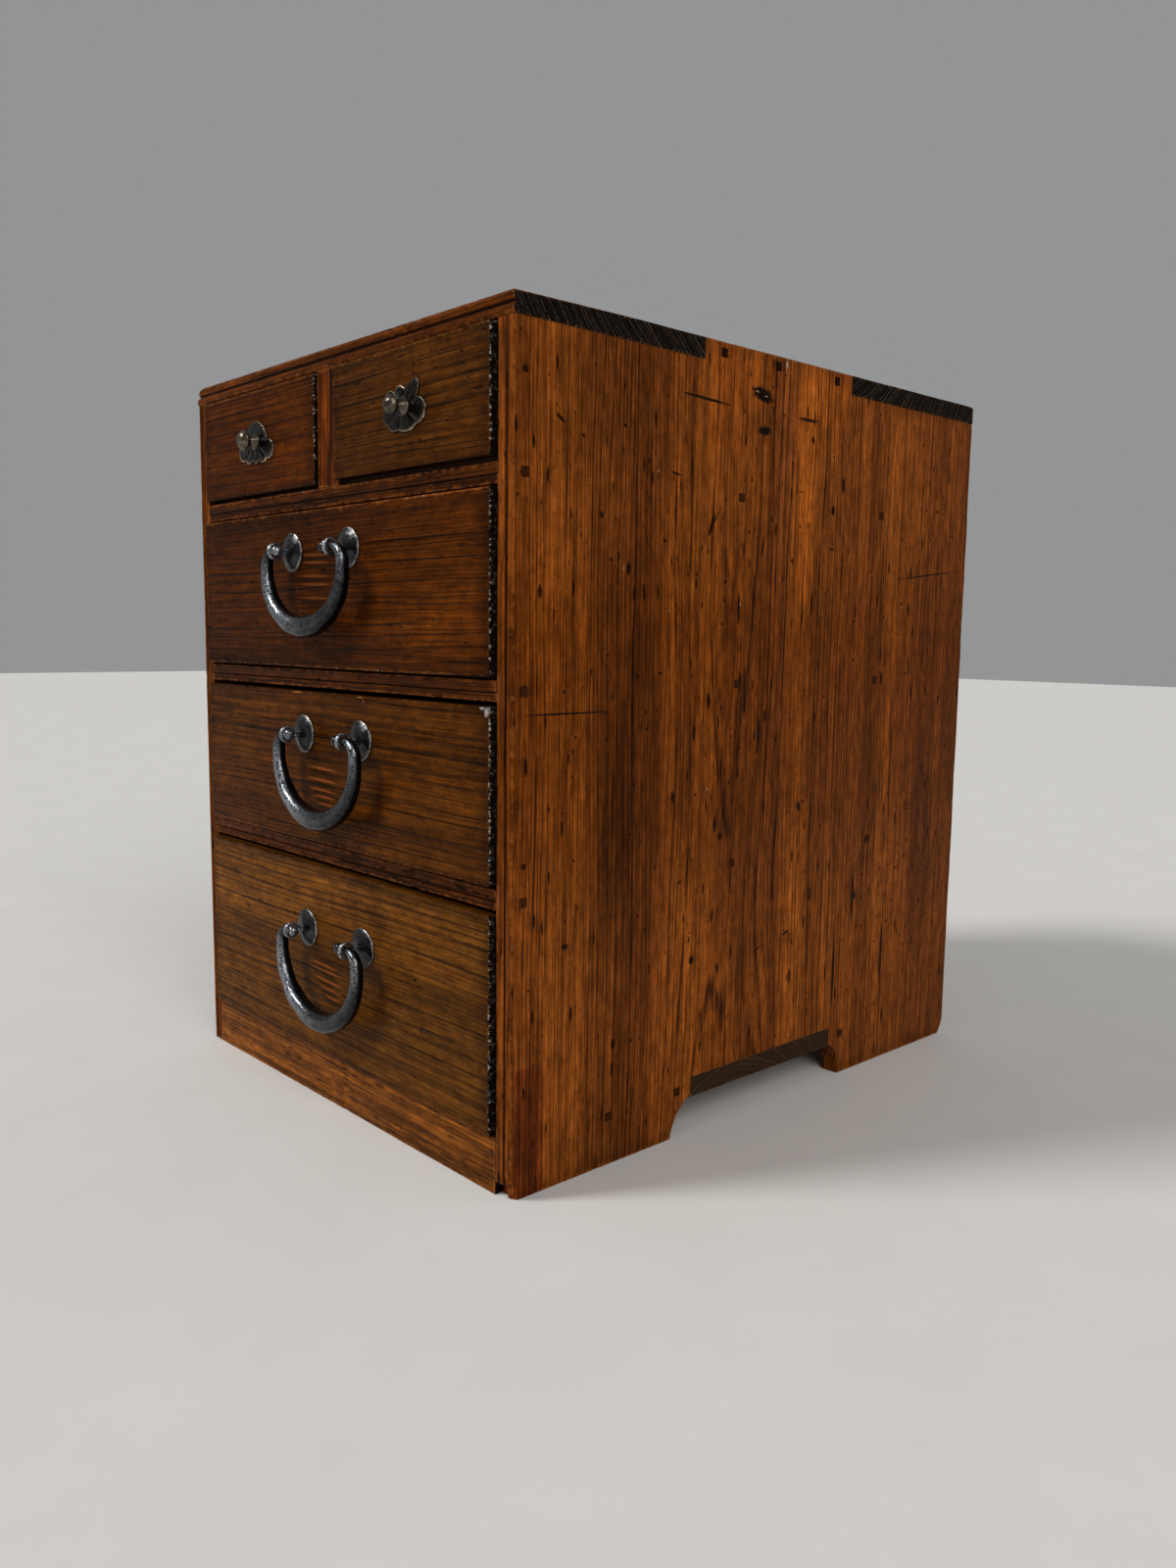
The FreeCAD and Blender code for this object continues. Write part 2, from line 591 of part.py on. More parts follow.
def eye_pin():
    """One split pin: an eye, its shank through the front, two legs bent over."""
    ring = doc.addObject("Part::Torus", "eye_ring")
    ring.setExpression("Radius1", "Sizes.eye_radius")
    ring.setExpression("Radius2", "Sizes.eye_wire / 2")
    ring.Placement = FreeCAD.Placement(Vector(0, 0, 0), FreeCAD.Rotation(Vector(0, 1, 0), 90))
    ring.setExpression("Placement.Base.y", "-Sizes.eye_standoff")
    start = "(Sizes.eye_radius - Sizes.eye_standoff)"
    inside = "(Sizes.front_thickness + Sizes.eye_wire / 2)"
    shank = rod(
        "eye_shank_rod", "Sizes.eye_shank / 2", f"{inside} - {start}", "0", start, "0", Vector(1, 0, 0), -90
    )
    legs = rod(
        "eye_legs", "Sizes.eye_wire / 2", "2 * Sizes.eye_leg_length", "0", inside,
        "-Sizes.eye_leg_length", Vector(0, 0, 1), 0,
    )
    whole = doc.addObject("Part::MultiFuse", "eye_pin")
    whole.Shapes = [ring, shank, legs]
    return whole


def pair_at_pitch(name, source):
    """The source twice, half the pitch to each side."""
    right = moved(f"{name}_right", [source], "Sizes.eye_pitch / 2", "0", "0")
    return [right, mirrored(f"{name}_left", right)]


dome_pair = pair_at_pitch("dome", dome())
eye_pair = pair_at_pitch("eye", eye_pin())


def bail(name, drop):
    """A forged bail: balled ends through the eyes, shoulders, and a swelling grip.

    Round sections are lofted along a line of straight tail, quarter-circle
    shoulder, short leg and quarter ellipse, then the same mirrored.
    """
    tail = measure("Sizes.eye_pitch / 2 - Sizes.bail_tail")
    bend = measure("Sizes.eye_pitch / 2 + Sizes.bail_reach")
    shoulder = measure("Sizes.bail_shoulder")
    leg = measure("Sizes.bail_leg")
    wide = bend + shoulder
    deep = measure(drop) - shoulder - leg
    tip_radius = measure("Sizes.bail_tip_radius")
    leg_radius = measure("Sizes.bail_leg_radius")
    grip_radius = measure("Sizes.bail_grip_radius")
    stations = []
    for share in (0, 0.35, 0.7, 1):
        stations.append((Vector(tail + (bend - tail) * share, 0, 0), Vector(1, 0, 0), tip_radius))
    for degrees in (22.5, 45, 67.5, 90):
        turn = FreeCAD.Rotation(Vector(0, 1, 0), degrees)
        arm = turn.multVec(Vector(0, 0, shoulder))
        radius = tip_radius + (leg_radius - tip_radius) * degrees / 90
        stations.append((Vector(bend, 0, -shoulder) + arm, turn.multVec(Vector(1, 0, 0)), radius))
    for degrees in (0, 15, 30, 45, 60, 75, 90):
        turn = FreeCAD.Rotation(Vector(0, 1, 0), degrees).multVec(Vector(1, 0, 0))
        place = Vector(wide * turn.x, 0, -shoulder - leg + deep * turn.z)
        heading = Vector(wide * turn.z, 0, -deep * turn.x).normalize()
        radius = leg_radius + (grip_radius - leg_radius) * degrees / 90
        stations.append((place, heading, radius))
    for place, heading, radius in reversed(stations[:-1]):
        stations.append((Vector(-place.x, 0, place.z), Vector(heading.x, 0, -heading.z), radius))
    rings = [Part.Circle(place, heading, radius).toShape() for place, heading, radius in stations]
    shape = Part.makeLoft([Part.Wire([ring]) for ring in rings], True)
    ball = measure("Sizes.bail_ball_radius")
    for end in (tail, -tail):
        shape = shape.fuse(Part.makeSphere(ball, Vector(end, 0, 0)))
    forged = doc.addObject("Part::Feature", name)
    forged.Shape = shape
    return forged


def knob(name, head_radius):
    """A mushroom knob turned in iron: rivet, shank, flared foot, neck and head."""
    foot = "-Sizes.plate_thickness"
    under = f"({foot} - Sizes.knob_neck_height)"
    brim = f"({under} - Sizes.knob_head_thickness / 3)"
    crown = f"({under} - Sizes.knob_head_thickness)"
    rise = f"({brim} - {crown})"
    dome_bend = f"(({head_radius} ^ 2 + {rise} ^ 2) / (2 * {rise}))"
    seat = "Sizes.front_thickness"
    rivet = f"({seat} + Sizes.knob_rivet_height)"
    return turned(
        name,
        [
            ("0", crown, (dome_bend, True)),
            (head_radius, brim, None),
            ("Sizes.knob_neck_radius", under, ("Sizes.knob_neck_height", False)),
            ("Sizes.knob_flare_radius", foot, None),
            ("Sizes.knob_shank_radius", foot, None),
            ("Sizes.knob_shank_radius", seat, None),
            ("Sizes.knob_rivet_radius", seat, None),
            ("Sizes.knob_rivet_radius", rivet, None),
            ("0", rivet, None),
        ],
    )


# A plate's outline is a ring of lobes. Each is (valley, tip): an arc starts in
# its valley, passes its tip and ends in the next valley. Both are shares of
# half the plate's width and of half its height, from the knob's axis.
LEFT_PLATE_LOBES = (
    ((0.64, 0.04), (0.97, -0.57)),
    ((0.60, -0.86), (0.42, -1.04)),
    ((0.20, -0.86), (0.00, -1.02)),
    ((-0.20, -0.86), (-0.42, -1.00)),
    ((-0.60, -0.80), (-0.98, -0.35)),
    ((-0.64, 0.04), (0.00, 0.97)),
)
RIGHT_PLATE_LOBES = (
    ((0.57, 0.28), (0.99, -0.20)),
    ((0.60, -0.72), (0.20, -0.96)),
    ((-0.28, -0.84), (-0.60, -0.86)),
    ((-0.78, -0.62), (-0.98, -0.28)),
    ((-0.88, 0.12), (-0.70, 0.72)),
    ((-0.44, 0.62), (-0.22, 0.86)),
    ((0.04, 0.70), (0.34, 0.90)),
    ((0.60, 1.02), (0.66, 0.62)),
)


def knob_plate(name, lobes, width, height):
    """A flat iron plate with a lobed edge and a hole for the knob's shank."""
    half_width = measure(width) / 2
    half_height = measure(height) / 2

    def place(shares):
        return Vector(shares[0] * half_width, 0, shares[1] * half_height)

    edges = []
    for count, (valley, tip) in enumerate(lobes):
        following = lobes[(count + 1) % len(lobes)][0]
        edges.append(Part.Arc(place(valley), place(tip), place(following)).toShape())
    thickness = measure("Sizes.plate_thickness")
    solid = Part.Face(Part.Wire(edges)).extrude(Vector(0, -thickness, 0))
    hole = Part.makeCylinder(measure(KNOB_HOLE), thickness, Vector(0, -thickness, 0), Vector(0, 1, 0))
    plate = doc.addObject("Part::Feature", name)
    plate.Shape = solid.cut(hole)
    return plate


# --- Drawers --------------------------------------------------------------

def drawer_pegs(name, x, y_front, y_back, z_low, z_high):
    """Eight square pegs through the sides: four into the front, four into the back."""
    low, high = x
    length = "(Sizes.drawer_side_thickness + Sizes.drawer_peg_bite)"
    made = []
    for corner, y in (("front", y_front), ("back", y_back)):
        for level, z in (("low", z_low), ("high", z_high)):
            left_x = (low, f"({low} + {length})")
            right_x = (f"({high} - {length})", high)
            made.append(square_peg(f"{name}_{corner}_{level}_l", left_x, y, z, "Sizes.drawer_peg_size"))
            made.append(square_peg(f"{name}_{corner}_{level}_r", right_x, y, z, "Sizes.drawer_peg_size"))
    return group(f"{name}_group", made)


def front_height(rail_top, ceiling):
    """Lower and upper edge of a drawer front between a rail and what is above it."""
    return (f"({rail_top} + Sizes.drawer_foot_gap)", f"({ceiling} - Sizes.drawer_top_gap)")


def drawer(name, opening, proud, rail_top, run_top, ceiling, holes):
    """A drawer in its opening: front, sides, back, bottom and the corner pegs.

    opening is the pair of x edges. rail_top is what the front passes over,
    run_top what the bottom slides on, and ceiling what lies above. holes are
    the tools that open the front for its iron work.
    """
    x = (f"({opening[0]} + Sizes.drawer_side_gap)", f"({opening[1]} - Sizes.drawer_side_gap)")
    body = (f"({x[0]} + Sizes.body_inset)", f"({x[1]} - Sizes.body_inset)")
    face = f"({FRONT} - {proud})"
    lip = f"({face} + Sizes.front_lip)"
    front_rear = f"({face} + Sizes.front_thickness)"
    rear = f"({BACK_INNER} - Sizes.drawer_rear_gap)"
    front_z = front_height(rail_top, ceiling)
    bottom_low = f"({run_top} + Sizes.run_gap)"
    bottom_top = f"({bottom_low} + Sizes.drawer_bottom_thickness)"
    side_top = f"({front_z[1]} - Sizes.side_drop)"
    back_top = f"({side_top} - Sizes.back_drop)"
    left_inner = f"({body[0]} + Sizes.drawer_side_thickness)"
    right_inner = f"({body[1]} - Sizes.drawer_side_thickness)"
    corner_pegs = drawer_pegs(
        f"{name}_corner_pegs",
        body,
        f"(({lip} + {front_rear}) / 2)",
        f"({rear} - Sizes.drawer_back_thickness / 2)",
        f"({bottom_top} + Sizes.drawer_peg_edge)",
        f"({back_top} - Sizes.drawer_peg_edge)",
    )
    keep(corner_pegs, f"{name}_pegs")
    behind_lip = (lip, f"({front_rear} + {OVER})")
    full_height = (f"({front_z[0]} - {OVER})", f"({front_z[1]} + {OVER})")
    rabbets = [
        block(f"{name}_rabbet_l", (f"({x[0]} - {OVER})", left_inner), behind_lip, full_height),
        block(f"{name}_rabbet_r", (right_inner, f"({x[1]} + {OVER})"), behind_lip, full_height),
        block(f"{name}_rabbet_b", x, behind_lip, (f"({front_z[0]} - {OVER})", bottom_top)),
    ]
    front_blank = block(f"{name}_front_blank", x, (face, front_rear), front_z)
    keep(cut(f"{name}_front_piece", front_blank, rabbets + [corner_pegs] + holes), f"{name}_front")
    side_z = (bottom_top, side_top)
    for side, side_x in (("left", (body[0], left_inner)), ("right", (right_inner, body[1]))):
        side_blank = block(f"{name}_{side}_blank", side_x, (lip, rear), side_z)
        keep(cut(f"{name}_{side}_piece", side_blank, [corner_pegs]), f"{name}_side_{side}")
    back_y = (f"({rear} - Sizes.drawer_back_thickness)", rear)
    back_blank = block(f"{name}_back_blank", (left_inner, right_inner), back_y, (bottom_top, back_top))
    keep(cut(f"{name}_back_piece", back_blank, [corner_pegs]), f"{name}_back")
    keep(block(f"{name}_bottom_piece", body, (lip, rear), (bottom_low, bottom_top)), f"{name}_bottom")
    return face


def front_hole(name, radius, x, proud, z):
    """A round tool along Y that passes right through a drawer front."""
    start = f"({FRONT} - {proud} - {OVER})"
    length = f"Sizes.front_thickness + 2 * {OVER}"
    return rod(name, radius, length, x, start, z, Vector(1, 0, 0), -90)


def small_drawer(name, side, opening, proud, lobes):
    """A small drawer with its knob and lobed plate."""
    x = f"Sizes.knob_{side}_x"
    low, high = front_height(RAIL_TOP["upper"], TOP_UNDER)
    z = f"(({low} + {high}) / 2 + Sizes.knob_rise)"
    holes = [front_hole(f"{name}_hole", KNOB_HOLE, x, proud, z)]
    face = drawer(name, opening, proud, RAIL_TOP["upper"], RAIL_TOP["upper"], TOP_UNDER, holes)
    turned_knob = knob(f"{name}_turned_knob", f"Sizes.knob_head_{side}")
    keep(moved(f"{name}_knob_place", [turned_knob], x, face, z), f"{name}_knob")
    width = f"Sizes.plate_{side}_width"
    height = f"Sizes.plate_{side}_height"
    flat_plate = knob_plate(f"{name}_flat_plate", lobes, width, height)
    keep(moved(f"{name}_plate_place", [flat_plate], x, face, z), f"{name}_knob_plate")


def large_drawer(name, level, rail_top, run_top, ceiling):
    """A full-width drawer with its bail, backplates and eye pins."""
    proud = "Sizes.drawer_proud"
    x = f"Sizes.pull_{level}_x"
    z = f"({front_height(rail_top, ceiling)[1]} - Sizes.pull_{level}_below)"
    holes = []
    for side, sign in (("l", "-"), ("r", "+")):
        eye_x = f"({x} {sign} Sizes.eye_pitch / 2)"
        holes.append(front_hole(f"{name}_hole_{side}", SHANK_HOLE, eye_x, proud, z))
    face = drawer(name, (f"-{INNER}", INNER), proud, rail_top, run_top, ceiling, holes)
    keep(moved(f"{name}_domes", dome_pair, x, face, z), f"{name}_backplates")
    keep(moved(f"{name}_eyes", eye_pair, x, face, z), f"{name}_eye_pins")
    forged = bail(f"{name}_forged_bail", f"Sizes.bail_{level}_drop")
    hang = f"({face} - Sizes.eye_standoff)"
    keep(moved(f"{name}_bail_place", [forged], x, hang, z), f"{name}_bail")


small_drawer(
    "drawer_top_left", "left", (f"-{INNER}", STILE_LEFT), "Sizes.drawer_proud_top_left", LEFT_PLATE_LOBES
)
small_drawer("drawer_top_right", "right", (STILE_RIGHT, INNER), "Sizes.drawer_proud", RIGHT_PLATE_LOBES)
large_drawer("drawer_upper", "upper", RAIL_TOP["middle"], RAIL_TOP["middle"], RAIL_UNDER["upper"])
large_drawer("drawer_middle", "middle", RAIL_TOP["lower"], RAIL_TOP["lower"], RAIL_UNDER["middle"])
large_drawer("drawer_lower", "lower", "Sizes.base_rail_height", FLOOR_BOARD_TOP, RAIL_UNDER["lower"])


# --- Check and write ------------------------------------------------------

doc.recompute()
for item in doc.Objects:
    if "Invalid" in item.State or "Error" in item.State:
        raise RuntimeError(f"{item.Name} failed: {item.State}")
for piece in nodes:
    if piece.Shape.isNull() or not piece.Shape.isValid() or not piece.Shape.Solids:
        raise RuntimeError(f"{piece.Label} has no valid solid")

os.makedirs("parts", exist_ok=True)
for piece in nodes:
    piece.Shape.exportStep(os.path.join("parts", f"{piece.Label}.step"))
    print(f"{piece.Label}: {len(piece.Shape.Solids)} solids, {piece.Shape.Volume:.1f} mm3")
print(f"{len(nodes)} nodes")
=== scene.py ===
# %% [markdown]
# # A small Japanese chest, dressed over its frame
#
# The frame holds the chest's pieces at their true places and sizes. This
# lesson makes what the eye meets: boards with worn arrises, oiled old timber
# and forged iron. Every new piece stands for one or more pieces of the frame
# and moves with the same body, so a drawer still opens with its pull on it.

import json
import math

import bmesh
import bpy
import numpy as np
from mathutils import Matrix, Vector


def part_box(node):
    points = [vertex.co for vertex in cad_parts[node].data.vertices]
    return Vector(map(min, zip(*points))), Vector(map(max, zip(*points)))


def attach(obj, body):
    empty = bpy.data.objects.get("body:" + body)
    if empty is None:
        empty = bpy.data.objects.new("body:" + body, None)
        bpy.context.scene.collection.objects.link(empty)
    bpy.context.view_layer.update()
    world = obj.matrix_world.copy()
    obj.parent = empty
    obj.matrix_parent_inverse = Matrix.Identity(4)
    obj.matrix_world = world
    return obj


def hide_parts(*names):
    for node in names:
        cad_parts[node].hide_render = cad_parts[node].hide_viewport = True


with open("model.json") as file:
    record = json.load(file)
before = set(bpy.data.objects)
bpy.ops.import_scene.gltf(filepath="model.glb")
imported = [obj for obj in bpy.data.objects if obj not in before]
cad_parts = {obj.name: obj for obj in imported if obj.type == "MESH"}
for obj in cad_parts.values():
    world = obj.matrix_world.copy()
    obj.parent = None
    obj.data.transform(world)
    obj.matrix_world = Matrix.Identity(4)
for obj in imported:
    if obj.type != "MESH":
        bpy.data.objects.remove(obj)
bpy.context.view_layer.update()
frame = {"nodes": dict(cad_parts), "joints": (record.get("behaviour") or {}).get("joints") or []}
MM = 0.001

# %% [markdown]
# ## The camera
#
# A camera is a place, a direction and a lens. The chest is seen from its
# front right, a little above the middle, with a wide lens from close by,
# which is why the near corner looms and the far edges shrink. The lens is
# given as a focal length in picture heights, because that is what decides
# the field of view, whatever sensor size is written beside it.

# %% Camera
CAMERA_PLACE = Vector((0.5009, -0.4529, 0.2343))
CAMERA_AZIMUTH = math.radians(-47.349)
CAMERA_ELEVATION = math.radians(-7.158)
CAMERA_ROLL = math.radians(0.730)
FOCAL_IN_HEIGHTS = 0.75966
SENSOR_WIDTH = 36  # mm


def put(name, data):
    """A new object in the scene."""
    obj = bpy.data.objects.new(name, data)
    bpy.context.collection.objects.link(obj)
    return obj


def direction(azimuth, elevation):
    """Unit vector at an azimuth from +Y towards +X and an elevation, both in radians."""
    level = math.cos(elevation)
    return Vector((math.sin(azimuth) * level, math.cos(azimuth) * level, math.sin(elevation)))


def aim(place, azimuth, elevation, roll):
    """World matrix of a camera that looks along its direction; roll lifts the right."""
    ahead = direction(azimuth, elevation)
    level_right = Vector((math.cos(azimuth), -math.sin(azimuth), 0))
    level_up = level_right.cross(ahead)
    right = math.cos(roll) * level_right + math.sin(roll) * level_up
    up = -math.sin(roll) * level_right + math.cos(roll) * level_up
    turn = Matrix((right, up, -ahead)).transposed()
    return Matrix.Translation(place) @ turn.to_4x4()


camera = put("camera", bpy.data.cameras.new("camera"))
camera.data.sensor_width = SENSOR_WIDTH
camera.data.lens = SENSOR_WIDTH * FOCAL_IN_HEIGHTS
camera.data.clip_start = 0.01
camera.matrix_world = aim(CAMERA_PLACE, CAMERA_AZIMUTH, CAMERA_ELEVATION, CAMERA_ROLL)
bpy.context.scene.camera = camera
print("lens", round(camera.data.lens, 2), "mm on a", SENSOR_WIDTH, "mm sensor")

# %% [markdown]
# ## Shader sums
#
# A material is a tree of nodes joined by wires. Written one node at a time it
# is long and hard to read, so a small class lets a wire take part in ordinary
# sums: `a * b` adds a Math node that multiplies them. A few helpers add the
# nodes that come up again and again.

# %% Wires


class Wire:
    """A value on its way through a shader tree; a sum with it adds one Math node."""

    def __init__(self, socket):
        self.socket, self.tree = socket, socket.id_data

    def out(self, name):
        """Another output of the node that this wire comes from."""
        return Wire(self.socket.node.outputs[name])

    def __add__(self, other):
        return calc("ADD", self, other)

    def __sub__(self, other):
        return calc("SUBTRACT", self, other)

    def __mul__(self, other):
        return calc("MULTIPLY", self, other)

    def __truediv__(self, other):
        return calc("DIVIDE", self, other)

    def __abs__(self):
        return calc("ABSOLUTE", self)


def plug(made, inputs):
    """Feed a node: wires are linked to its inputs, numbers and colours are set on them."""
    for key, value in inputs.items():
        if isinstance(value, Wire):
            value.tree.links.new(value.socket, made.inputs[key])
        else:
            made.inputs[key].default_value = value


def node(kind, inputs, out=0, **settings):
    """Add one shader node to the tree that its first wire belongs to, and return a wire from it."""
    tree = next(value.tree for value in inputs.values() if isinstance(value, Wire))
    made = tree.nodes.new("ShaderNode" + kind)
    for key, value in settings.items():
        setattr(made, key, value)
    plug(made, inputs)
    return Wire(made.outputs[out])


def calc(operation, first, second=0.0, third=0.0):
    """One sum on numbers."""
    return node("Math", {0: first, 1: second, 2: third}, operation=operation)


def scaled_add(value, factor, extra):
    """value * factor + extra, in one node."""
    return calc("MULTIPLY_ADD", value, factor, extra)


def vector_calc(operation, first, second=(0, 0, 0), third=None):
    """One sum on vectors or colours."""
    inputs = {0: first, 1: second}
    if third is not None:
        inputs[2] = third
    return node("VectorMath", inputs, operation=operation)


def scale(vector, factor):
    """A vector or colour made longer or brighter by a factor."""
    return node("VectorMath", {0: vector, "Scale": factor}, operation="SCALE")


def size_of(vector):
    """Length of a vector."""
    return node("VectorMath", {0: vector}, out="Value", operation="LENGTH")


def parts(vector):
    """The x, y and z of a vector as three wires."""
    first = node("SeparateXYZ", {0: vector})
    return first, first.out(1), first.out(2)


print("nodes are wired by", plug.__name__, "and", node.__name__)

# %% Colours, noises and groups


def ease(value, low, high, start=0.0, end=1.0):
    """The value carried smoothly from start at low to end at high."""
    inputs = {"Value": value, "From Min": low, "From Max": high, "To Min": start, "To Max": end}
    return node("MapRange", inputs, interpolation_type="SMOOTHSTEP")


def mix(factor, first, second):
    """Two colours, mixed by a factor."""
    return node("Mix", {0: factor, 6: first, 7: second}, out=2, data_type="RGBA", blend_type="MIX")


def noise(place, stretch, detail=3.0, roughness=0.55):
    """Cloudy values from 0 to 1, at so many cells a millimetre along each axis."""
    scaled = vector_calc("MULTIPLY", place, stretch)
    return node("TexNoise", {"Vector": scaled, "Scale": 1.0, "Detail": detail, "Roughness": roughness})


def paint(red, green, blue):
    """A colour as it looks on a screen, 0 to 255, made linear for a socket."""
    share = np.array([red, green, blue]) / 255
    line = np.where(share <= 0.04045, share / 12.92, ((share + 0.055) / 1.055) ** 2.4)
    return (*line.tolist(), 1.0)


def new_material(name):
    """A material, its main shader, a wire with the places on a piece, and the same in millimetres."""
    material = bpy.data.materials.new(name)
    material.use_nodes = True
    tree = material.node_tree
    coords = Wire(tree.nodes.new("ShaderNodeTexCoord").outputs["Object"])
    return material, tree.nodes["Principled BSDF"], coords, scale(coords, 1 / MM)


def shader_group(name, inputs, outputs):
    """An empty node group with named sockets; returns it, wires from its inputs and its output node."""
    group = bpy.data.node_groups.new(name, "ShaderNodeTree")
    for label, kind, value in inputs:
        socket = group.interface.new_socket(label, in_out="INPUT", socket_type="NodeSocket" + kind)
        socket.default_value = value
    for label, kind in outputs:
        group.interface.new_socket(label, in_out="OUTPUT", socket_type="NodeSocket" + kind)
    sockets = group.nodes.new("NodeGroupInput").outputs
    wires = {label: Wire(sockets[label]) for label, _, _ in inputs}
    return group, wires, group.nodes.new("NodeGroupOutput")


print("mid grey is", round(paint(128, 128, 128)[0], 3), "to a socket")

# %% [markdown]
# ## Floor and light
#
# A plain pale floor, an even grey surround and two broad, soft suns show a
# dark satin object best. The main sun stands in front at the left, so that
# the pulls throw their shadows to the right across the drawers. The second is
# weaker and fills the long side. A sun lights the floor evenly all the way
# back, and a wide disc keeps its shadows soft.

# %% Sky and lamps
SURROUND = 0.30
FLOOR_SIZE = 12.0
FLOOR_TONES = ((0.70, 0.69, 0.67, 1), (0.76, 0.75, 0.73, 1))


def soft_sun(name, azimuth, elevation, strength, disc, colour):
    """A sun seen from the chest at an azimuth from +Y towards +X and an elevation, in degrees."""
    data = bpy.data.lights.new(name, "SUN")
    data.energy, data.angle, data.color = strength, math.radians(disc), colour
    towards = direction(math.radians(azimuth), math.radians(elevation))
    put(name, data).rotation_euler = towards.to_track_quat("Z", "Y").to_euler()


soft_sun("window", 213, 40, 1.8, 14, (1.0, 0.98, 0.95))
soft_sun("room", 112, 34, 1.2, 40, (1.0, 0.97, 0.93))

world = bpy.data.worlds.new("studio")
bpy.context.scene.world = world
world.use_nodes = True
plug(world.node_tree.nodes["Background"], {"Color": (0.98, 0.99, 1.0, 1), "Strength": SURROUND})

floor_material, shader, _, place = new_material("pale_floor")
speckle = noise(place, (0.02, 0.02, 0.02), 4)
plug(shader, {"Base Color": mix(speckle, *FLOOR_TONES), "Roughness": 0.7})

floor_mesh = bpy.data.meshes.new("floor")
half = FLOOR_SIZE / 2
floor_corners = [(-half, -half, 0), (half, -half, 0), (half, half, 0), (-half, half, 0)]
floor_mesh.from_pydata(floor_corners, [], [(0, 1, 2, 3)])
floor_mesh.materials.append(floor_material)
floor = put("floor", floor_mesh)
bpy.context.scene.view_settings.view_transform = "Standard"

# %% [markdown]
# ## Old timber as a solid
#
# A board is a slice of a tree, so its figure is the same thing on every face:
# yearly rings cut lengthwise on the broad faces and across on the ends. The
# timber group therefore works in three dimensions. It takes a place in
# millimetres with its third axis along the grain, measures the distance from
# the pith, bends it a little, and turns it into rings: pale wood that slowly
# darkens and then stops at a sharp line. Long thin noise adds fibres and
# flecks, and slow noise adds the cloudy tone of old varnish.

# %% Timber group
FLECK_COLOUR = paint(24, 9, 3)
timber, given, gives = shader_group(
    "old_timber",
    [("Place", "Vector", (0, 0, 0)), ("Pith", "Vector", (0, 80, 0)), ("Ring", "Float", 3.0),
     ("Sway", "Float", 8.0), ("Pale", "Color", (0.3, 0.1, 0.03, 1)), ("Dark", "Color", (0.1, 0.03, 0.01, 1)),
     ("Lines", "Float", 0.7), ("Flecks", "Float", 0.6), ("Clouds", "Float", 0.5),
     ("Fibres", "Float", 1.0)],
    [("Color", "Color"), ("Roughness", "Float"), ("Height", "Float"), ("Late", "Float")],
)
place = given["Place"]
slow = (noise(place, (0.012, 0.012, 0.0025), 2) - 0.5) * given["Sway"]
wander = (noise(place, (0.14, 0.14, 0.012), 2) - 0.5) * 2.0
from_pith = vector_calc("MULTIPLY", vector_calc("SUBTRACT", place, given["Pith"]), (1, 1, 0))
years = (size_of(from_pith) + slow + wander) / given["Ring"]
uneven = node("TexNoise", {"W": years, "Scale": 0.35, "Detail": 2.0}, noise_dimensions="1D")
years = scaled_add(uneven, 2.5, years)
season = calc("FRACT", years)
late = ease(season, 0.42, 0.86) * ease(season, 0.90, 1.0, 1.0, 0.0)
year_tone = node("TexNoise", {"W": calc("FLOOR", years), "Scale": 0.77, "Detail": 1.0}, noise_dimensions="1D")
late = late * ease(year_tone, 0.25, 0.7, 0.4, 1.0)
broken = noise(place, (0.5, 0.5, 0.03), 3, 0.6)
late = late * ease(broken, 0.30, 0.62, 0.35, 1.0)
print("rings:", len(timber.nodes), "nodes")

# %% Fibres and clouds
fibre = noise(place, (0.85, 0.85, 0.014), 6, 0.70)
hair = noise(place, (2.6, 2.6, 0.07), 3, 0.6)
mottle = noise(place, (0.22, 0.22, 0.10), 6, 0.72)
hairline = noise(place, (2.0, 2.0, 0.022), 2, 0.5)
cloud = noise(place, (0.05, 0.05, 0.018), 4, 0.65)
band = noise(place, (0.07, 0.07, 0.0018), 3, 0.6)
tone = mix(late * given["Lines"], given["Pale"], given["Dark"])
streak = ease(fibre, 0.36, 0.64, 0.46, 1.46) * ease(hair, 0.33, 0.67, 0.62, 1.36)
streak = scaled_add(streak - 1.0, given["Fibres"], 1.0) * ease(mottle, 0.36, 0.64, 0.70, 1.25)
scored = ease(hairline, 0.57, 0.65, 1.0, 0.52) * ease(hairline, 0.34, 0.42, 1.32, 1.0)
patch = scaled_add(cloud - 0.5, given["Clouds"], 1.0) * ease(band, 0.33, 0.67, 0.74, 1.22)
shaded = scale(tone, streak * scored * patch)


def dashes(place, across, along, size, share):
    """Dark dashes along the grain: one to a cell of a scattered grid, and only in a share of the cells.

    A cell is so many millimetres across the grain and along it.
    """
    uneven_place = vector_calc("MULTIPLY", place, (0.9, 0.9, 0.12))
    shaken = node("TexNoise", {"Vector": uneven_place, "Scale": 1.0, "Detail": 3.0}, out="Color")
    spot = vector_calc("MULTIPLY", place, (1 / across, 1 / across, 1 / along))
    spot = vector_calc("MULTIPLY_ADD", shaken, (0.22, 0.22, 0.16), spot)
    scattered = node("TexVoronoi", {"Vector": spot, "Scale": 1.0})
    chance = node("SeparateColor", {0: scattered.out("Color")})
    reach = ease(chance.out("Green"), 0.0, 1.0, 0.45, 1.0) * size
    near = ease(scattered.out("Distance") / reach, 0.55, 1.0, 1.0, 0.0)
    return near * calc("LESS_THAN", chance.out("Red"), share)


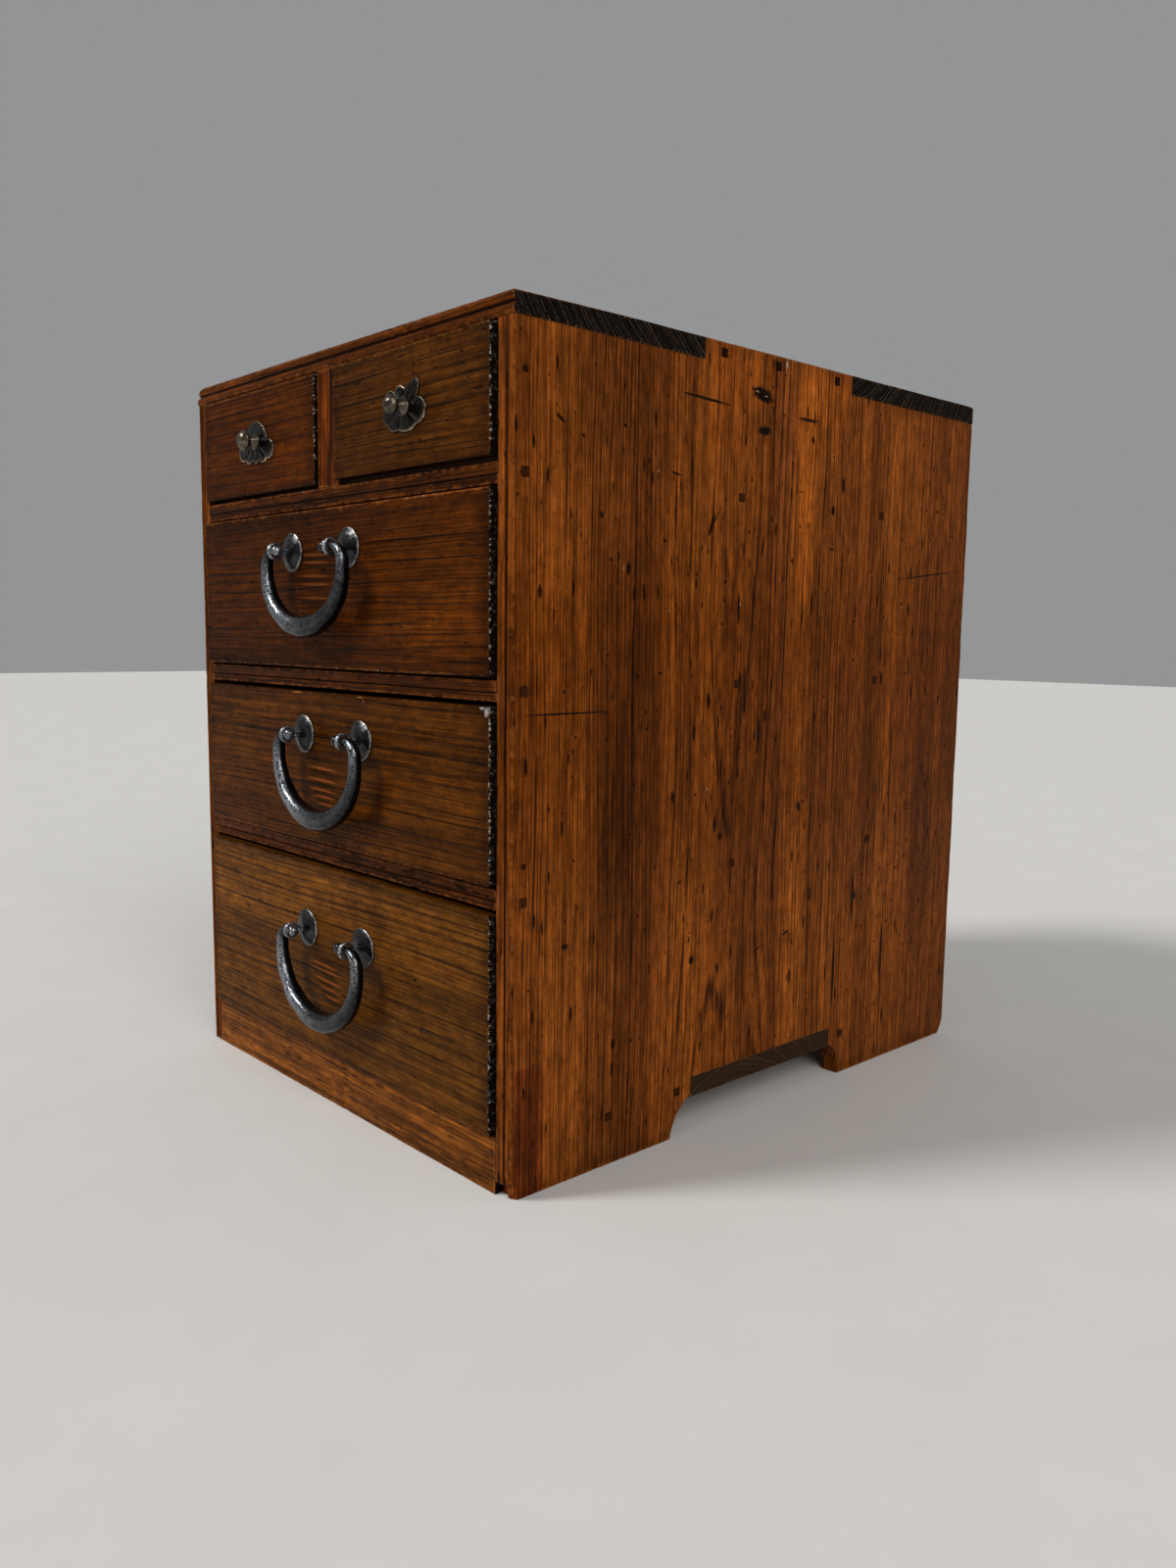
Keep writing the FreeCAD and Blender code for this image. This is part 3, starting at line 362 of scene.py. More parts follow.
speck = calc("MAXIMUM", dashes(place, 5, 24, 0.20, 0.75), dashes(place, 13, 44, 0.12, 0.6))
crowd = ease(noise(place, (0.03, 0.03, 0.02), 3), 0.40, 0.62, 0.25, 1.0)
speck = calc("MAXIMUM", speck, crowd * dashes(place, 3.2, 8, 0.24, 0.7))
speck = calc("MAXIMUM", speck, dashes(place, 8.0, 9, 0.13, 0.65)) * given["Flecks"]
relief = scaled_add(speck, -0.8, scaled_add(late, 0.6, fibre * 0.5))
plug(gives, {
    "Color": mix(speck, shaded, FLECK_COLOUR),
    "Roughness": scaled_add(speck, 0.2, scaled_add(fibre, 0.16, 0.30)),
    "Height": relief,
    "Late": late,
})
print("timber group:", len(timber.nodes), "nodes")

# %% [markdown]
# ## Wear along the arrises
#
# Hands and cloths round an arris first. There the stain is rubbed off or the
# dirt has packed in, and the end grain has drunk so much stain that it is
# nearly black. For a board that is close to a box, the distance from the
# nearest arris is the middle one of the three distances to its faces. The
# group works that out from the board's centre and half size.

# %% Arris group
arris, given, gives = shader_group(
    "arris",
    [("Place", "Vector", (0, 0, 0)), ("Centre", "Vector", (0, 0, 0)), ("Half", "Vector", (10, 10, 10))],
    [("Distance", "Float"), ("Rubbed", "Float")],
)
offset = vector_calc("ABSOLUTE", vector_calc("SUBTRACT", given["Place"], given["Centre"]))
inside = parts(vector_calc("SUBTRACT", given["Half"], offset))
least, most = (calc(which, inside[0], inside[1]) for which in ("MINIMUM", "MAXIMUM"))
middle = calc("MAXIMUM", least, calc("MINIMUM", most, inside[2]))
reach = ease(noise(given["Place"], (0.25, 0.25, 0.25), 5, 0.65), 0.35, 0.75, 0.2, 3.2)
plug(gives, {"Distance": middle, "Rubbed": ease(middle / reach, 0.3, 1.0, 1.0, 0.0)})
print("arris group:", len(arris.nodes), "nodes")

# %% [markdown]
# ## One recipe for every board
#
# All the boards share a recipe: turn the place so that the grain runs along
# the third axis, ask the timber group for colour and relief, blacken the end
# grain, rub the arrises, and add the marks that this one board has. A mark is
# an ellipse with a place, two half sizes and a tilt; a scratch is a long thin
# one. The recipe takes all of that as plain values, so each board is a few
# numbers away from its neighbour. Only the deeper marks dent the relief. Small
# ones are a change of colour alone, because a shader that has to measure its
# relief in three places can't carry many of them.

# %% Marks
GRAIN_TURN = {"x": (0, math.radians(-90), 0), "y": (math.radians(90), 0, 0), "z": (0, 0, 0)}
GRAIN_AXIS = {"x": (1, 0, 0), "y": (0, 1, 0), "z": (0, 0, 1)}
THICK = 400.0  # a mark's half size through the board, so that depth doesn't matter


def marks(place, spots):
    """Nearness to a list of marks, 0 in their middles and 1 at their rims.

    Each is (x, y, z, half x, half y, half z, tilt in degrees about its thin axis).
    """
    nearest = None
    for x, y, z, half_x, half_y, half_z, tilt in spots:
        halves = (half_x, half_y, half_z)
        turn = [0.0, 0.0, 0.0]
        turn[int(np.argmax(halves))] = math.radians(tilt)
        local = node("Mapping", {"Vector": place, "Location": (x, y, z), "Rotation": turn, "Scale": halves},
                     vector_type="TEXTURE")
        away = size_of(local)
        nearest = away if nearest is None else calc("MINIMUM", nearest, away)
    return nearest


def frayed(place, spots, cells, depth):
    """Nearness to marks whose rims are frayed: by noise of so many cells a millimetre, so deep."""
    wavy = noise(place, (cells, cells, cells))
    return scaled_add(wavy, depth, marks(place, spots) - depth / 2)


def slip(place, centre, halves):
    """1 inside a box with crisp, slightly wandering sides, and 0 outside it."""
    uneven_place = vector_calc("MULTIPLY", place, (0.12, 0.12, 0.04))
    shaken = node("TexNoise", {"Vector": uneven_place, "Scale": 1.0, "Detail": 3.0}, out="Color")
    bent = vector_calc("MULTIPLY_ADD", vector_calc("SUBTRACT", shaken, (0.5, 0.5, 0.5)), (2, 2, 2), place)
    local = node("Mapping", {"Vector": bent, "Location": centre, "Scale": halves}, vector_type="TEXTURE")
    sizes = parts(vector_calc("ABSOLUTE", local))
    furthest = calc("MAXIMUM", calc("MAXIMUM", sizes[0], sizes[1]), sizes[2])
    return ease(furthest, 0.95, 1.04, 1.0, 0.0)


def banded(place, colour, axis, stops):
    """A colour made lighter or darker in bands along an axis; stops are (where, tint), in millimetres."""
    across = scaled_add(noise(place, (0.02, 0.02, 0.02), 2), 5.0, parts(place)[axis] - 2.5)
    start, end = stops[0][0], stops[-1][0]
    share = node("MapRange", {"Value": across, "From Min": start, "From Max": end})
    tints = node("ValToRGB", {"Fac": share})
    ramp = tints.socket.node.color_ramp
    while len(ramp.elements) < len(stops):
        ramp.elements.new(0.5)
    for element, (where, tint) in zip(ramp.elements, stops):
        element.position = (where - start) / (end - start)
        element.color = (*[0.5 * v for v in tint], 1)  # a ramp stops at 1, so tints are halved here
    return vector_calc("MULTIPLY", colour, scale(tints, 2.0))


print("a mark has", len("x y z half_x half_y half_z tilt".split()), "values")

# %% Board material
# The seam colour darkens dirt along joints and painted shade in grooves and gaps; the glint colour is painted
# glints on the arrises; the torn colour is pale wood where the polish came off, which also stands in for
# glints on the shiny black end grain.
DIRT_AND_SHADE, DENT, GLINT, TORN_AND_GLINT, BLACKENED = (
    paint(*colour) for colour in ((26, 9, 4), (20, 10, 6), (196, 176, 150), (184, 172, 158), (12, 8, 6)))
BOARD_IOR = 1.09  # barely glossy, so that the pale surroundings don't veil the dark wood
BOARD_SHEEN = (1.0, 0.70, 0.45, 1)
COAT_ROUGHNESS = 0.28
BUMP_DEPTH = 0.0004  # metres


def board_material(name, grain, pith, ring, pale, dark, box, lines=0.7, flecks=0.5, clouds=0.6, sway=8.0,
                   fibres=0.6, relief=0.35, gloss=0.03, roughness_shift=0.0, end_colour=(30, 23, 18),
                   end_lines=1.0, rubbed_colour=(150, 82, 30), rubbed=0.5, glint=0.35, bands=(),
                   dark_marks=(), stains=(), seams=(), slips=(), lights=(), knocked=None):
    """A timber finish for one board; box is its (low, high) corners in millimetres.

    bands are (axis, stops); dark_marks are dents, stains soft darker patches,
    and the seam marks lines of dirt along joints and of painted shade in grooves
    and gaps, all given as marks. slips are boxes of another tint: (centre, half
    sizes, tint). lights are groups of marks that change the colour alone:
    (colour, strength, marks); some are ink and chips, some painted highlights
    and painted shade. knocked is the x of an end where the polish is black and
    torn off, with pale spots that are also painted glints.
    """
    material, shader, coords, place = new_material(name)
    turned = node("Mapping", {"Vector": place, "Rotation": GRAIN_TURN[grain]})
    wood = node("Group", {"Place": turned, "Pith": pith, "Ring": ring, "Sway": sway, "Pale": paint(*pale),
                          "Dark": paint(*dark), "Lines": lines, "Flecks": flecks, "Clouds": clouds,
                          "Fibres": fibres}, node_tree=timber)
    colour, height = wood.out("Color"), wood.out("Height")
    rough = wood.out("Roughness") + roughness_shift
    low, high = np.array(box[0]), np.array(box[1])
    for axis, stops in bands:
        colour = banded(place, colour, axis, stops)
    distance = node("Group", {"Place": place, "Centre": (low + high) / 2, "Half": (high - low) / 2},
                    node_tree=arris)
    colour = scale(colour, ease(distance, 0.8, 9.0, 0.72, 1.0))
    if stains:
        colour = scale(colour, ease(frayed(place, stains, 0.08, 0.7), 0.1, 1.25, 0.66, 1.0))
    if dark_marks:
        dent = ease(frayed(place, dark_marks, 0.7, 0.9), 0.55, 1.0, 1.0, 0.0)
        colour = mix(dent, colour, DENT)
        height = scaled_add(dent, -1.6, height)
    colour = mix(distance.out("Rubbed") * rubbed, colour, paint(*rubbed_colour))
    # Dirt along joints, and painted shade that darkens grooves and the gaps under the drawers.
    if seams:
        colour = mix(ease(marks(place, seams), 0.55, 1.15, 0.9, 0.0), colour, DIRT_AND_SHADE)
    along = node("VectorMath", {0: coords.out("Normal"), 1: GRAIN_AXIS[grain]}, out="Value",
                 operation="DOT_PRODUCT")
    end = ease(abs(along), 0.55, 0.9)
    lined = ease(wood.out("Late"), 0.1, 0.7, 0.5, 2.9) * ease(height, 0.15, 0.8, 0.6, 1.5)
    lined = scaled_add(lined - 1.0, end_lines, 1.0)
    colour = mix(end, colour, scale(paint(*end_colour)[:3], lined))
    for centre, halves, tint in slips:
        colour = vector_calc("MULTIPLY", colour, mix(slip(place, centre, halves), (1, 1, 1, 1), (*tint, 1)))
    # Marks that change the colour alone: ink and chips, and on some boards painted highlights and painted
    # shade.
    for light, strength, spots in lights:
        colour = mix(ease(frayed(place, spots, 0.9, 0.8), 0.5, 1.05, strength, 0.0), colour, paint(*light))
    # Painted glints: small bright specks along the arrises.
    glint_specks = ease(noise(place, (0.8, 0.8, 0.8), 3, 0.7), 0.60, 0.68)
    colour = mix(glint_specks * ease(distance, 0.2, 1.3, glint, 0.0), colour, GLINT)
    if knocked is not None:
        from_end = abs(parts(place)[0] - knocked)
        torn = ease(noise(place, (0.6, 0.4, 0.6), 5, 0.75), 0.545, 0.60)
        torn = torn * ease(distance, 0.45, 0.9, 1.0, 0.12)
        patchy = ease(noise(place, (0.3, 0.3, 0.3), 4, 0.7), 0.38, 0.52)
        colour = mix(ease(from_end, 0.3, 1.5, 1.0, 0.0) * patchy, colour, BLACKENED)
        # Pale torn spots near the end: bare wood where the polish came off, which also stand in for glints on
        # the shiny black end grain.
        colour = mix(torn * ease(from_end, 0.5, 1.3, 0.75, 0.0), colour, TORN_AND_GLINT)
    bump = node("Bump", {"Height": height, "Strength": relief, "Distance": BUMP_DEPTH})
    plug(shader, {"Base Color": colour, "Roughness": scaled_add(end, 0.25, rough), "Normal": bump,
                  "IOR": BOARD_IOR, "Specular Tint": BOARD_SHEEN, "Coat Weight": gloss,
                  "Coat Roughness": COAT_ROUGHNESS})
    return material


print("board recipe ready")

# %% [markdown]
# ## Boards with worn arrises
#
# A planed board is a straight prism, but an old one is not: its arrises are
# rounder where hands go and nicked where things knocked it. Each board here is
# a stack of rings. A ring is the board's outline; its corners are eased by
# quarter curves, and near both ends of the stack every ring shrinks a little,
# so that the end arrises are rounded too. The radius of each rounding wanders
# along the arris, and that is what reads as wear.

# %% Ripples and knocks


def ripple(place, length, seed):
    """Smooth random values from -1 to 1 along a line: a random height every length, eased between."""
    spot = np.asarray(place, float) / length
    base = np.floor(spot).astype(int)
    part = spot - base
    part = part * part * (3 - 2 * part)
    heights = np.random.default_rng(seed).uniform(-1, 1, 1024)
    return heights[base % 1024] * (1 - part) + heights[(base + 1) % 1024] * part


def knocks(place, seed, *waves):
    """Ripples (length, strength) added up; where they agree and the sum is high, something knocked."""
    return sum(strength * ripple(place, length, seed + k) for k, (length, strength) in enumerate(waves))


def rise(distance, reach):
    """0 up to no distance, then evenly up to 1 at its reach."""
    return np.clip(distance / reach, 0, 1)


def fade(distance, reach):
    """1 up to no distance, then evenly down to 0 at its reach."""
    return np.clip(1 - distance / reach, 0, 1)


def steps_along(line):
    """Distance along a line of points at each of them."""
    return np.concatenate([[0], np.cumsum(np.linalg.norm(np.diff(line, axis=0), axis=1))])


def worn_radius(place, plain, chip, seed):
    """Radius of an arris along its length: plain, plus chips where the knocks add up."""
    knock = knocks(place, seed, (2.3, 1), (7.0, 0.8), (31.0, 0.5))
    return plain * (1 + 0.25 * ripple(place, 17.0, seed + 3)) + chip * np.clip(knock - 0.75, 0, None)


print("a new arris is worn by", worn_radius(0.0, 0.5, 0.5, 1).round(2), "mm at its start")

# %% Rings
CORNER_STEPS = np.array([0.0, 0.2, 0.4, 0.6, 0.8, 1.0])
EASED_REACH = 2.0  # mm on each side of an eased corner that hold no other points


def rectangle(low, high, first=0, second=1):
    """The four corners of a box seen along one axis, all eased; first and second are its other axes."""
    return [(low[first], low[second], True), (high[first], low[second], True),
            (high[first], high[second], True), (low[first], high[second], True)]


def ring_of(corners, spacing):
    """A closed line through corners (x, y, eased), anticlockwise.

    Returns the points at no rounding, each point's pull for one unit of
    rounding, its inward direction, its distance along the line, and the
    number of its corner, or -1 between corners. An eased corner is the
    quarter curve P + r((1-t)^2 back + t^2 ahead), which leaves the corner
    point by r along both sides.
    """
    spots = np.array([c[:2] for c in corners], float)
    ahead = np.roll(spots, -1, 0) - spots
    length = np.linalg.norm(ahead, axis=1, keepdims=True)
    ahead = ahead / length
    back = -np.roll(ahead, 1, 0)
    points, pulls, owner = [], [], []

    def add(places, pull, number):
        points.append(places)
        pulls.append(pull)
        owner.append(np.full(len(places), number))

    for index, (_, _, eased) in enumerate(corners):
        next_eased = corners[(index + 1) % len(corners)][2]
        if eased:
            steps = CORNER_STEPS[:, None]
            pull = (1 - steps) ** 2 * back[index] + steps ** 2 * ahead[index]
            add(spots[index] + 0 * pull, pull, index)
        else:
            add(spots[index][None], np.zeros((1, 2)), -1)
        start = EASED_REACH if eased else 0.0
        stop = length[index, 0] - (EASED_REACH if next_eased else 0.0)
        count = max(int(round((stop - start) / spacing)), 1)
        counted = np.arange(0 if eased else 1, count + (1 if next_eased else 0))
        along = start + (stop - start) * counted / count
        if stop - start > spacing * 0.3:
            add(spots[index] + along[:, None] * ahead[index], np.zeros((len(along), 2)), -1)
    points, pulls, owner = np.concatenate(points), np.concatenate(pulls), np.concatenate(owner)
    rounded = points + 0.5 * pulls
    tangent = np.roll(rounded, -1, 0) - np.roll(rounded, 1, 0)
    tangent /= np.linalg.norm(tangent, axis=1, keepdims=True)
    inward = np.stack([-tangent[:, 1], tangent[:, 0]], 1)
    return points, pulls, inward, steps_along(rounded), owner


def round_over(distance, radius):
    """How far a face draws back near its end: a quarter circle of that radius."""
    radius = np.maximum(radius, 1e-6)
    left = radius - np.minimum(distance, radius)
    return radius - np.sqrt(np.maximum(radius ** 2 - left ** 2, 0))


print("an eased corner has", len(CORNER_STEPS), "points")

# %% [markdown]
# ## Undoing tangles
#
# Where an outline turns inward, as in the notch between two feet, a ring that
# is drawn in makes a small loop, and its faces would cut through each other.
# A boolean or a remesh would clean that up but lose the even rows of points.
# Finding where two edges of the ring cross, and laying the points between
# them evenly along the way round, keeps every ring at the same count.

# %% Tangles
LOOP_POINTS = 16  # the longest tangle that is looked for


def cross2(first, second):
    """The third part of the cross product of two lists of plane vectors."""
    return first[..., 0] * second[..., 1] - first[..., 1] * second[..., 0]


def untangle(line):
    """Undo the small loops that a closed plane line makes where it was drawn in round a corner.

    Where the edge after point i crosses the edge after point j = i + gap, the points from
    i + 1 to j are laid out evenly on the way from i by the crossing to j + 1.
    """
    line = line.copy()
    for gap in range(LOOP_POINTS, 1, -1):
        along = np.roll(line, -1, 0) - line
        other, other_along = np.roll(line, -gap, 0), np.roll(along, -gap, 0)
        across = cross2(along, other_along)
        safe = np.where(np.abs(across) > 1e-12, across, np.inf)
        here = cross2(other - line, other_along) / safe
        there = cross2(other - line, along) / safe
        for start in np.flatnonzero((here > 0) & (here < 1) & (there > 0) & (there < 1)):
            meeting = line[start] + here[start] * along[start]
            way = np.stack([line[start], meeting, line[(start + gap + 1) % len(line)]])
            passed = steps_along(way)
            places = passed[-1] * np.arange(1, gap + 1) / (gap + 1)
            laid = np.stack([np.interp(places, passed, way[:, 0]), np.interp(places, passed, way[:, 1])], -1)
            line[(start + np.arange(1, gap + 1)) % len(line)] = laid
    return line


print("tangles of up to", LOOP_POINTS, "points are undone")

# %% [markdown]
# ## From rings to a mesh
#
# A mesh is a list of points and a list of faces that name them. Rings with
# the same number of points are easy to join: each point, its neighbour and
# the two above them make one four-sided face. Pieces could also be cut from
# a cube with modifiers, but then nothing would say where a chip belongs.

# %% Stacks and meshes
END_STEPS = (0.0, 0.07, 0.2, 0.42, 0.75, 1.2, 1.8)  # mm from the end of a stack


def stack_heights(total, extra=(), step=None):
    """Heights of the rings: close together at both ends, with any extra ones between."""
    ends = np.array(END_STEPS)
    inner = np.arange(step, total, step) if step else []
    heights = np.concatenate([ends, total - ends, np.asarray(extra, float), inner])
    heights = np.unique(np.round(heights[(heights >= 0) & (heights <= total)], 4))
    keep = np.concatenate([[True], np.diff(heights) > 0.02])
    keep[-1] = True
    return heights[keep]


def put_mesh(name, grid):
    """A grid of rings in millimetres (rings, points, xyz) as a closed mesh.

    Neighbouring rings are joined by four-sided faces, and the end rings get
    one flat face each. The mesh's volume, the sum of a . (b x c) over its
    triangles, is negative if its faces look inward, and they are then turned.
    """
    rings, points = grid.shape[:2]
    row = np.arange(rings - 1)[:, None] * points
    column = np.arange(points)[None]
    across = (column + 1) % points
    quads = np.stack([row + column, row + across, row + points + across, row + points + column], -1)
    quads = quads.reshape(-1, 4)
    spots = grid.reshape(-1, 3)
    faces = quads.tolist() + [list(range(points))[::-1], list(range((rings - 1) * points, rings * points))]
    volume = 0.0
    for first, second, third in ((0, 1, 2), (0, 2, 3)):
        volume += (spots[quads[:, first]] * np.cross(spots[quads[:, second]], spots[quads[:, third]])).sum()
    for face in faces[len(quads):]:
        fan = spots[face]
        volume += (fan[:1] * np.cross(fan[1:-1], fan[2:])).sum()
    if volume < 0:
        faces = [face[::-1] for face in faces]
    mesh = bpy.data.meshes.new(name)
    mesh.from_pydata((spots * MM).tolist(), [], faces)
    smooth = np.arange(len(faces)) < len(quads)
    mesh.polygons.foreach_set("use_smooth", smooth)
    mesh.update()
    return put(name, mesh)


def dress(obj, body, material, slot, *nodes):
    """Give a piece its finish, and let it stand for nodes of the frame and move with their body."""
    obj.data.materials.clear()
    obj.data.materials.append(material)
    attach(obj, body)
    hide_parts(*nodes)
    return obj


def place_rings(order, first, second, height):
    """Ring coordinates put on the axes named by order, such as "yzx"."""
    grid = np.empty((*np.broadcast(first, second, height).shape, 3))
    for letter, values in zip(order, (first, second, height)):
        grid[..., "xyz".index(letter)] = values
    return grid


def mm_box(name):
    """Lowest and highest corner of a frame piece, in millimetres."""
    low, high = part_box(name)
    return np.array(low) / MM, np.array(high) / MM


print("rings within", END_STEPS[-1], "mm of an end:", len(END_STEPS))

# %% [markdown]
# ## One function for every board
#
# The sides, the top, the rails and the fronts differ in outline and in wear,
# not in kind. One function therefore takes the outline, the heights of the
# rings and how worn each set of arrises is. What is special to a board, such
# as its moulding, is a small function of its own that may bend the rings
# before they become a mesh.

# %% Worn boards
MOST_WORN_END, MOST_WORN_ALONG = 1.7, 1.9  # mm; a chip deeper than this would tangle the rings


def worn_prism(name, order, corners, heights, start, ends=(0.4, 0.4), corner=0.5, chips=(0.5, 0.5, 0.5),
               seed=1, spacing=2.0, warp=0.12, reshape=None):
    """A board as a stack of rings from start along the last axis of order.

    ends are the plain radii of the low and high end arris, corner that of the
    arrises along the stack, and chips how deep the knocks go on each of them.
    warp is how far the walls wander inward. reshape may bend the finished
    rings; it gets (first, second, heights) as arrays and returns them.
    """
    points, pulls, inward, run, owner = ring_of(corners, spacing)
    total = heights[-1]
    low = np.minimum(worn_radius(run, ends[0], chips[0], seed), MOST_WORN_END)
    high = np.minimum(worn_radius(run, ends[1], chips[1], seed + 10), MOST_WORN_END)
    level = heights[:, None]
    inset = round_over(level, low) + round_over(total - level, high)
    inset = inset + warp * (1 + ripple(run, 37.0, seed + 20)) / 2
    along = np.stack([worn_radius(heights, corner, chips[2], seed + 31 + 7 * k)
                      for k in range(len(corners))], 1)
    radius = np.where(owner[None] >= 0, np.minimum(along, MOST_WORN_ALONG)[:, np.maximum(owner, 0)], 0)
    first = points[:, 0] + pulls[:, 0] * radius + inward[:, 0] * inset
    second = points[:, 1] + pulls[:, 1] * radius + inward[:, 1] * inset
    third = start + np.broadcast_to(level, first.shape)
    if reshape:
        first, second, third = reshape(first, second, third)
    sections = np.array([untangle(section) for section in np.stack([first, second], -1)])
    first, second = sections[..., 0], sections[..., 1]
    return put_mesh(name, place_rings(order, first, second, third))


print("a chip is never deeper than", max(MOST_WORN_END, MOST_WORN_ALONG), "mm")

# %% [markdown]
# ## The moulded front edges
#
# The sides and the top end in the same little moulding: a round bead at the
# outer arris, a narrow groove beside it, and a strip that swells very
# slightly. The moulding is a depth that depends only on how far in from the
# outer face you are. Pushing the front points of each ring back by that depth
# cuts it, as a moulding plane would.

# %% Moulding
BEAD_RADIUS = 2.6
BEAD_WRAP = math.radians(44)
BEAD_WIDTH = BEAD_RADIUS * (1 + math.sin(BEAD_WRAP))
QUIRK_WIDTH, QUIRK_DEPTH, QUIRK_SLOPE = 0.8, 1.3, 0.08
MOULDING_REACH = 10.0


def moulding(inside, thickness, swell):
    """Depth of the moulding at a distance inside the outer face."""
    from_crown = np.minimum(inside, BEAD_WIDTH) - BEAD_RADIUS
    bead = BEAD_RADIUS - np.sqrt(np.maximum(BEAD_RADIUS ** 2 - from_crown ** 2, 0))
    strip_start = BEAD_WIDTH + QUIRK_WIDTH
    share = np.clip((inside - strip_start) / (thickness - strip_start), 0, 1)
    strip = swell * (2 * share - 1) ** 2
    depth = np.where(inside <= BEAD_WIDTH, bead, QUIRK_DEPTH)
    return np.where(inside >= strip_start, strip, depth)


def moulded_heights(thickness):
    """Heights of a moulded board's rings from its inner face: both ends and the moulding."""
    bead = BEAD_RADIUS * (1 + np.sin(np.linspace(-math.pi / 2, BEAD_WRAP, 11)))
    groove = BEAD_WIDTH + np.array([QUIRK_SLOPE, QUIRK_WIDTH - QUIRK_SLOPE, QUIRK_WIDTH])
    strip = np.linspace(BEAD_WIDTH + QUIRK_WIDTH, thickness, 6)[1:]
    return stack_heights(thickness, thickness - np.concatenate([bead, groove, strip]))


print("bead", round(BEAD_WIDTH, 2), "mm wide")

# %% [markdown]
# ## The side boards
#
# A side is one board standing on end, so its grain runs up. Its outline has
# the finger that rises through the top, and the notch that leaves two feet.
# Booleans could cut both, but rings that already have them keep their even
# rows of points, so a foot's arris wears like every other. The broad outer
# face is flat, and everything on it is figure, stain and marks. The left side
# is the right one turned over, with wear of its own.

# %% Sides
side_low, side_high = mm_box("case_side_right")
top_low, top_high = mm_box("top_board")
FRONT = side_low[1]
SIDE_THICKNESS = side_high[0] - side_low[0]
OUTER_DRAWBACK = 0.15  # the pegs and end grain stand this far proud of the side
FINGER_START, FINGER_END = 108.0, 217.0
NOTCH_FRONT = (96.3, 107.0, 25.0)  # at the floor, at its top, radius
NOTCH_REAR = (226.9, 219.5, 16.0)
NOTCH_TOP = mm_box("bottom_board")[0][2]


def arc_points(start, end, radius, count):
    """Points on the shorter arc of a radius from start to end, its centre on the left of the way."""
    start, end = np.array(start), np.array(end)
    chord = end - start
    span = np.linalg.norm(chord)
    leftward = np.array([-chord[1], chord[0]]) / span
    centre = (start + end) / 2 + leftward * math.sqrt(radius ** 2 - span ** 2 / 4)
    first, last = (math.atan2(*(p - centre)[::-1]) for p in (start, end))
    if last < first:
        last += 2 * math.pi
    turn = np.linspace(first, last, count)
    return centre + radius * np.stack([np.cos(turn), np.sin(turn)], 1)


def side_outline():
    """Outline of a side in y and z, anticlockwise, with its finger and its notch."""
    back, top, seat = side_high[1], side_high[2], top_low[2]
    feet = []
    for (at_floor, at_top, radius), way, count in ((NOTCH_FRONT, -1, 9), (NOTCH_REAR, 1, 7)):
        ends = ((FRONT + at_floor, 0), (FRONT + at_top, NOTCH_TOP))[::way]  # the centre is on the way's left
        arc = arc_points(*ends, radius, count)
        feet += [(*p, k in (0, count - 1)) for k, p in enumerate(arc[::-1])]
    finger = [(FRONT + FINGER_END, seat), (FRONT + FINGER_END, top), (FRONT + FINGER_START, top),
              (FRONT + FINGER_START, seat)]
    return [(FRONT, seat, True), (FRONT, 0, True), *feet, (back, 0, True), (back, seat, True),
            *[(*p, True) for p in finger]]


print("side outline:", len(side_outline()), "corners")

# %% Worn sides


def mould_front(y, z, inside, seed):
    """Push a side's front points back by its moulding, its small waves and its knocks."""
    knock = knocks(z, seed, (3.1, 1), (9.0, 0.9), (47.0, 0.6))
    on_bead = rise(BEAD_WIDTH - inside, BEAD_WIDTH)
    depth = moulding(inside, SIDE_THICKNESS, 0.4) + 0.10 * (1 + ripple(z, 23.0, seed + 3))
    depth = depth + 0.55 * on_bead * np.clip(knock - 0.9, 0, 1)
    return y + depth * fade(y - FRONT, MOULDING_REACH)


WORN_FOOT_HEIGHT, WORN_FOOT_DEPTH, CHIPPED_FOOT, WORN_HEEL = 4.6, 4.0, 3.4, 5.0


def reshape_right(y, z, x):
    """The right side's moulding, its broken strip at the floor and its worn rear corner."""
    inside = side_high[0] - x
    y = mould_front(y, z, inside, 300)
    broken = rise(WORN_FOOT_HEIGHT - z + 1.5 * ripple(z, 3.0, 310), 1.2) * rise(inside - BEAD_WIDTH, 0.6)
    y = y + WORN_FOOT_DEPTH * broken * fade(y - FRONT, 25)
    chipped = CHIPPED_FOOT * fade(z, 9 + 2 * ripple(inside, 1.7, 314)) * fade(y - FRONT, 14)
    y = y + chipped * np.clip(1.3 - inside / 6, 0, 1)
    heel = rise(y - (side_high[1] - 14), 14) * fade(z, 9) ** 1.5
    knock = ripple(z, 6.0, 312) + ripple(z, 33.0, 313)
    worn = 0.25 * (1 + ripple(z, 14.0, 311)) + 0.5 * np.clip(knock - 0.8, 0, 1)
    y = y - (WORN_HEEL * heel + worn * fade(side_high[1] - y, 8))
    return y, z, x


def reshape_left(y, z, x):
    """The left side's moulding; x counts from its outer face, which is the lower x."""
    return mould_front(y, z, x + side_high[0], 340), z, x


